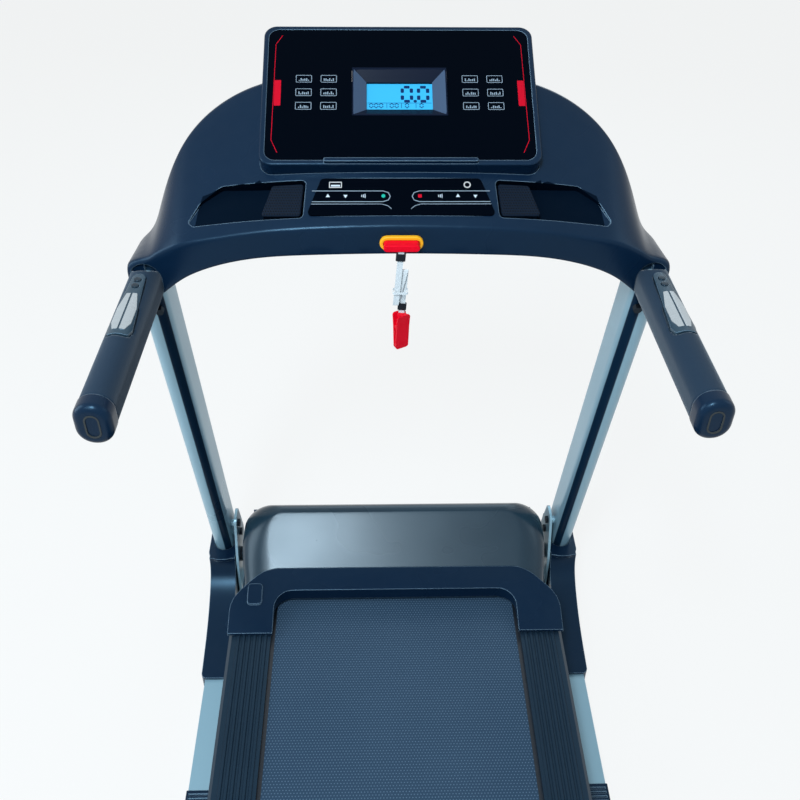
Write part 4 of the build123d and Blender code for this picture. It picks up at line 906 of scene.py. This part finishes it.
class TREADMILL_OT_foam_grips(bpy.types.Operator):
    """Make the two foam grips as soft sleeves with rounded ends."""

    bl_idname = "treadmill.foam_grips"
    bl_label = "Foam grips"

    def execute(self, context):
        for node in ("grip_left", "grip_right"):
            piece = add_object(node + "_foam", merged_mesh(node))
            voxels = piece.modifiers.new("voxels", "REMESH")
            voxels.mode = "VOXEL"
            voxels.voxel_size = sizes().foam_voxel
            soften = piece.modifiers.new("soften", "SMOOTH")
            soften.factor = 0.5
            soften.iterations = 3
            context.view_layer.update()
            ready = piece.evaluated_get(context.evaluated_depsgraph_get())
            mesh = bpy.data.meshes.new_from_object(ready)
            piece.modifiers.clear()
            piece.data = mesh
            mesh.shade_smooth()
            settle(piece, node, bpy.data.materials["grip_foam"])
        return {"FINISHED"}


class TREADMILL_OT_cap_rings(bpy.types.Operator):
    """Emboss an upright oval ring on the end of each grip cap."""

    bl_idname = "treadmill.cap_rings"
    bl_label = "Cap rings"

    def execute(self, context):
        points = [vertex.co for vertex in frame["nodes"]["grip_end_caps"].data.vertices]
        for side, name in ((-1, "left"), (1, "right")):
            cap = [point for point in points if point.x * side > 0]
            end = min(point.y for point in cap)
            lows, highs = ([pick(point[axis] for point in cap) for axis in (0, 2)] for pick in (min, max))
            middle = [(low + high) / 2 for low, high in zip(lows, highs)]
            sunk = Vector((middle[0], end + CAP_RING_SUNK, middle[1]))
            form = bmesh.new()
            add_ring(form, (0.0, 0.0), CAP_RING, CAP_RING_CORNER, CAP_RING_LINE)
            place = Matrix.Translation(sunk) @ Matrix.Rotation(math.pi / 2, 4, "X")
            rubber = bpy.data.materials["soft_rubber"]
            thick = CAP_RING_SUNK + CAP_RING_RISE
            printed("cap_ring_" + name, form, place, rubber, thick)
        return {"FINISHED"}


class TREADMILL_OT_display_print(bpy.types.Operator):
    """Print the accents and key outlines on the display panel."""

    bl_idname = "treadmill.display_print"
    bl_label = "Display print"

    def execute(self, context):
        place = face_place("display_glass", DISPLAY_TILT)
        red = inked("print_red", (0.60, 0.004, 0.018))
        form = bmesh.new()
        for side in (-1, 1):
            add_stroke(form, [(side * x, up - GLASS_LOW) for x, up in ACCENT_LINE], ACCENT_WIDE)
        printed("panel_red_lines", form, place, red)
        form = bmesh.new()
        for side in (-1, 1):
            add_plate(form, (side * BLOCK_PLACE[0], BLOCK_PLACE[1] - GLASS_LOW), BLOCK, BLOCK_CORNER)
        printed("panel_red_blocks", form, place, red)
        outline = inked("print_silver", tuple(colours().print_line))
        form = bmesh.new()
        marks = bmesh.new()
        for column, x in enumerate(PROGRAM_COLUMNS):
            for row, up in enumerate(PROGRAM_ROWS):
                add_ring(form, (x, up - GLASS_LOW), PROGRAM_KEY, PROGRAM_CORNER, PROGRAM_LINE)
                foot = up - GLASS_LOW - CHART_DROP
                for step in range(CHART_BARS):
                    wave = CHART_WAVE[0] * step + CHART_WAVE[1] * column + CHART_WAVE[2] * row
                    tall = CHART_LOW + CHART_RISE * abs(math.sin(wave))
                    left = x - CHART_LEFT + CHART_PITCH * step
                    add_plate(marks, (left, foot + tall / 2), (CHART_WIDE, tall))
        printed("program_key_outlines", form, place, outline)
        printed("program_key_marks", marks, place, outline)
        return {"FINISHED"}


class TREADMILL_OT_screen_digits(bpy.types.Operator):
    """Draw the digits on the lit screen."""

    bl_idname = "treadmill.screen_digits"
    bl_label = "Screen digits"

    def execute(self, context):
        place = face_place("lcd_module", DISPLAY_TILT)
        ink = inked("screen_ink", (0.006, 0.024, 0.100), 0.45)
        form = bmesh.new()
        large = SCREEN_MIDDLE - LARGE_DROP
        for x in LARGE_PLACES:
            add_zero(form, (x, large), LARGE_DIGIT, LARGE_STROKE)
        add_disc(form, (POINT_PLACE, large), POINT_RADIUS)
        for x, count in SMALL_PLACES:
            for step in range(count):
                corner = (x + SMALL_PITCH * step, SCREEN_MIDDLE - SMALL_DROP)
                add_zero(form, corner, SMALL_DIGIT, SMALL_STROKE)
        for x in DIVIDERS:
            add_plate(form, (x, SCREEN_MIDDLE - DIVIDER_DROP), DIVIDER)
        add_plate(form, (0.0, SCREEN_MIDDLE - RULE_DROP), RULE)
        printed("screen_digits", form, place, ink)
        return {"FINISHED"}


class TREADMILL_OT_keypad_print(bpy.types.Operator):
    """Print the outlines and symbols on the keypad and set its two ports."""

    bl_idname = "treadmill.keypad_print"
    bl_label = "Keypad print"

    def execute(self, context):
        place = face_place("keypad_overlay", KEYPAD_TILT)
        outline = bpy.data.materials["print_silver"]
        white = inked("print_white", (0.62, 0.66, 0.72))
        red = bpy.data.materials["print_red"]
        green = inked("print_green", (0.02, 0.42, 0.30))
        form = bmesh.new()
        for side in (-1, 1):
            reach = [(side * x, up - KEYPAD_LOW) for x, up in KEYPAD_OUTLINE]
            add_stroke(form, reach, KEYPAD_OUTLINE_WIDE)
            curve = [(side * x, up - KEYPAD_LOW) for x, up in KEYPAD_CURVE]
            add_stroke(form, curve, KEYPAD_CURVE_WIDE)
        printed("keypad_outlines", form, place, outline)
        symbols = SYMBOL_ROW - KEYPAD_LOW
        form = bmesh.new()
        for x, turn in ARROWS:
            add_disc(form, (x, symbols), ARROW_RADIUS, segments=3, turn=math.radians(turn))
        for x in STAIRS:
            for step in range(3):
                left = x - STAIR_PITCH + STAIR_PITCH * step
                add_plate(form, (left, symbols), (STAIR_WIDE, STAIR_LOW + STAIR_RISE * step))
        printed("keypad_symbols", form, place, white)
        form = bmesh.new()
        add_disc(form, (START_PLACE, symbols), START_RADIUS)
        printed("keypad_start", form, place, green)
        form = bmesh.new()
        add_plate(form, (STOP_PLACE, symbols), STOP, STOP_CORNER)
        printed("keypad_stop", form, place, red)
        steel = bpy.data.materials["bright_steel"]
        ports = PORT_ROW - KEYPAD_LOW
        form = bmesh.new()
        add_ring(form, (USB_PLACE, ports), USB_RIM, USB_CORNER, USB_LINE)
        printed("usb_port_rim", form, place, steel, USB_RISE)
        form = bmesh.new()
        add_plate(form, (USB_PLACE, TONGUE_ROW - KEYPAD_LOW), TONGUE, TONGUE_CORNER)
        printed("usb_port_tongue", form, place, white, TONGUE_RISE)
        form = bmesh.new()
        add_ring(form, (JACK_PLACE, ports), JACK_RIM, JACK_CORNER, JACK_LINE)
        printed("audio_jack_rim", form, place, steel, JACK_RISE)
        return {"FINISHED"}


def route_line():
    """Points along the lanyard's smooth line."""
    curve = bpy.data.curves.new("lanyard_line", "CURVE")
    curve.dimensions = "3D"
    curve.resolution_u = 24
    spline = curve.splines.new("NURBS")
    spline.points.add(len(LANYARD_ROUTE) - 1)
    for point, place in zip(spline.points, LANYARD_ROUTE):
        point.co = (*place, 1.0)
    spline.order_u = 3
    spline.use_endpoint_u = True
    holder = add_object("lanyard_line", curve)
    bpy.context.view_layer.update()
    mesh = bpy.data.meshes.new_from_object(holder)
    points = [vertex.co.copy() for vertex in mesh.vertices]
    bpy.data.objects.remove(holder)
    return points


def tape_sections(points):
    """Tape corners at each point of its line, wide along X."""
    sections = []
    for index, point in enumerate(points):
        before = points[max(index - 1, 0)]
        after = points[min(index + 1, len(points) - 1)]
        along = (after - before).normalized()
        wide = Vector((1.0, 0.0, 0.0))
        wide = (wide - along * along.dot(wide)).normalized() * TAPE_WIDE / 2
        thick = along.cross(wide).normalized() * TAPE_THICK / 2
        sections.append(
            (point - wide - thick, point + wide - thick, point + wide + thick, point - wide + thick)
        )
    return sections


class TREADMILL_OT_lanyard(bpy.types.Operator):
    """Weave the lanyard along its route and tie the folded hank."""

    bl_idname = "treadmill.lanyard"
    bl_label = "Lanyard"

    def execute(self, context):
        points = route_line()
        form = bmesh.new()
        uv = form.loops.layers.uv.new("tape")
        rings = [[form.verts.new(corner) for corner in section] for section in tape_sections(points)]
        run = 0.0
        for index, (here, there) in enumerate(zip(rings, rings[1:])):
            step = (points[index + 1] - points[index]).length
            for corner in range(4):
                after = (corner + 1) % 4
                face = form.faces.new((here[corner], here[after], there[after], there[corner]))
                runs = (run, run, run + step, run + step)
                for loop, across, along in zip(face.loops, (0.0, 1.0, 1.0, 0.0), runs):
                    loop[uv].uv = (across, along)
            run += step
        form.faces.new(rings[0])
        form.faces.new(rings[-1])
        bmesh.ops.recalc_face_normals(form, faces=form.faces)
        tape = add_object("lanyard_tape", mesh_from(form, "lanyard_tape"))
        woven = bpy.data.materials["woven_tape"]
        settle(tape, "lanyard", woven)
        form = bmesh.new()
        add_ring(form, TIE_PLACE, TIE, TIE_CORNER, TIE_LINE)
        foot = Matrix.Translation((0.0, 0.0, TIE_LOW))
        tie = printed("lanyard_tie", form, foot, woven, TIE_TALL, "safety_key")
        return {"FINISHED"}


def soft_light(name, place, target, size, power):
    """Large area lamp aimed at a point."""
    lamp = bpy.data.lights.new(name, "AREA")
    lamp.shape = "RECTANGLE"
    lamp.size, lamp.size_y = size
    lamp.energy = power
    lamp.color = LAMP_COLOUR
    holder = add_object(name, lamp)
    holder.location = place
    holder.rotation_euler = (Vector(target) - Vector(place)).to_track_quat("-Z", "Y").to_euler()


def background_rays(tree):
    """One for the rays that see the background: camera, glossy and transmission."""
    path = tree.nodes.new("ShaderNodeLightPath")
    bent = maths(tree, "MAXIMUM", path.outputs["Is Glossy Ray"], path.outputs["Is Transmission Ray"])
    return maths(tree, "MAXIMUM", path.outputs["Is Camera Ray"], bent)


def camera_turn():
    """Turn of the camera from its pitch, yaw and roll."""
    flat = math.cos(CAMERA_PITCH)
    forward = Vector((math.sin(CAMERA_YAW) * flat, math.cos(CAMERA_YAW) * flat, -math.sin(CAMERA_PITCH)))
    level = Vector((math.cos(CAMERA_YAW), -math.sin(CAMERA_YAW), 0.0))
    above = level.cross(forward)
    right = level * math.cos(CAMERA_ROLL) + above * math.sin(CAMERA_ROLL)
    up = above * math.cos(CAMERA_ROLL) - level * math.sin(CAMERA_ROLL)
    return Matrix((right, up, -forward)).transposed().to_4x4()


class TREADMILL_OT_stage(bpy.types.Operator):
    """Set the floor, the soft light, the background and the camera."""

    bl_idname = "treadmill.stage"
    bl_label = "Stage"

    def execute(self, context):
        scene = context.scene
        pale = tuple(colours().floor)
        form = bmesh.new()
        bmesh.ops.create_grid(form, x_segments=1, y_segments=1, size=FLOOR_HALF)
        floor = add_object("studio_floor", mesh_from(form, "studio_floor"))
        material, tree, shader = plain("studio_floor", pale, 0.9, gleam=0.1)
        glow = tree.nodes.new("ShaderNodeEmission")
        glow.inputs["Color"].default_value = (*FLOOR_GLOW, 1.0)
        mix = tree.nodes.new("ShaderNodeMixShader")
        share = maths(tree, "MULTIPLY", background_rays(tree), FLOOR_GLOW_SHARE)
        tree.links.new(share, mix.inputs[0])
        tree.links.new(shader.outputs[0], mix.inputs[1])
        tree.links.new(glow.outputs[0], mix.inputs[2])
        tree.links.new(mix.outputs[0], tree.nodes["Material Output"].inputs[0])
        floor.data.materials.append(material)
        world = bpy.data.worlds.new("studio")
        scene.world = world
        world.use_nodes = True
        sky = world.node_tree
        back = sky.nodes["Background"]
        back.inputs["Color"].default_value = (*SKY, 1.0)
        back.inputs["Strength"].default_value = SKY_STRENGTH
        flat = sky.nodes.new("ShaderNodeBackground")
        flat.inputs["Color"].default_value = (*pale, 1.0)
        blend = sky.nodes.new("ShaderNodeMixShader")
        sky.links.new(background_rays(sky), blend.inputs[0])
        sky.links.new(back.outputs[0], blend.inputs[1])
        sky.links.new(flat.outputs[0], blend.inputs[2])
        sky.links.new(blend.outputs[0], sky.nodes["World Output"].inputs[0])
        for lamp in LAMPS:
            soft_light(*lamp)
        lens = bpy.data.cameras.new("runner_view")
        lens.lens = CAMERA_LENS
        lens.sensor_width = CAMERA_SENSOR
        lens.clip_end = CAMERA_REACH
        camera = add_object("runner_view", lens)
        camera.matrix_world = Matrix.Translation(CAMERA_PLACE) @ camera_turn()
        scene.camera = camera
        scene.view_settings.view_transform = "Standard"
        return {"FINISHED"}


class TREADMILL_PT_looks(bpy.types.Panel):
    """Sidebar with the treadmill's settings and steps."""

    bl_idname = "TREADMILL_PT_looks"
    bl_label = "Treadmill"
    bl_space_type = "VIEW_3D"
    bl_region_type = "UI"
    bl_category = "Treadmill"

    def draw(self, context):
        for settings in (colours(), sizes()):
            for name in type(settings).__annotations__:
                self.layout.prop(settings, name)
        for step in STEPS:
            self.layout.operator(step.bl_idname)


STEPS = (
    TREADMILL_OT_finishes,
    TREADMILL_OT_foam_grips,
    TREADMILL_OT_cap_rings,
    TREADMILL_OT_display_print,
    TREADMILL_OT_screen_digits,
    TREADMILL_OT_keypad_print,
    TREADMILL_OT_lanyard,
    TREADMILL_OT_stage,
)
CLASSES = (TreadmillColours, TreadmillSizes, *STEPS, TREADMILL_PT_looks)


def register():
    """Register the classes and the scene's settings."""
    for item in CLASSES:
        bpy.utils.register_class(item)
    bpy.types.Scene.treadmill_colours = bpy.props.PointerProperty(type=TreadmillColours)
    bpy.types.Scene.treadmill_sizes = bpy.props.PointerProperty(type=TreadmillSizes)


def unregister():
    """Remove the scene's settings and the classes."""
    del bpy.types.Scene.treadmill_sizes
    del bpy.types.Scene.treadmill_colours
    for item in reversed(CLASSES):
        bpy.utils.unregister_class(item)


def main():
    """Dress the treadmill and set the stage."""
    register()
    for step in STEPS:
        area, name = step.bl_idname.split(".")
        getattr(getattr(bpy.ops, area), name)()


if __name__ == "__main__":
    main()
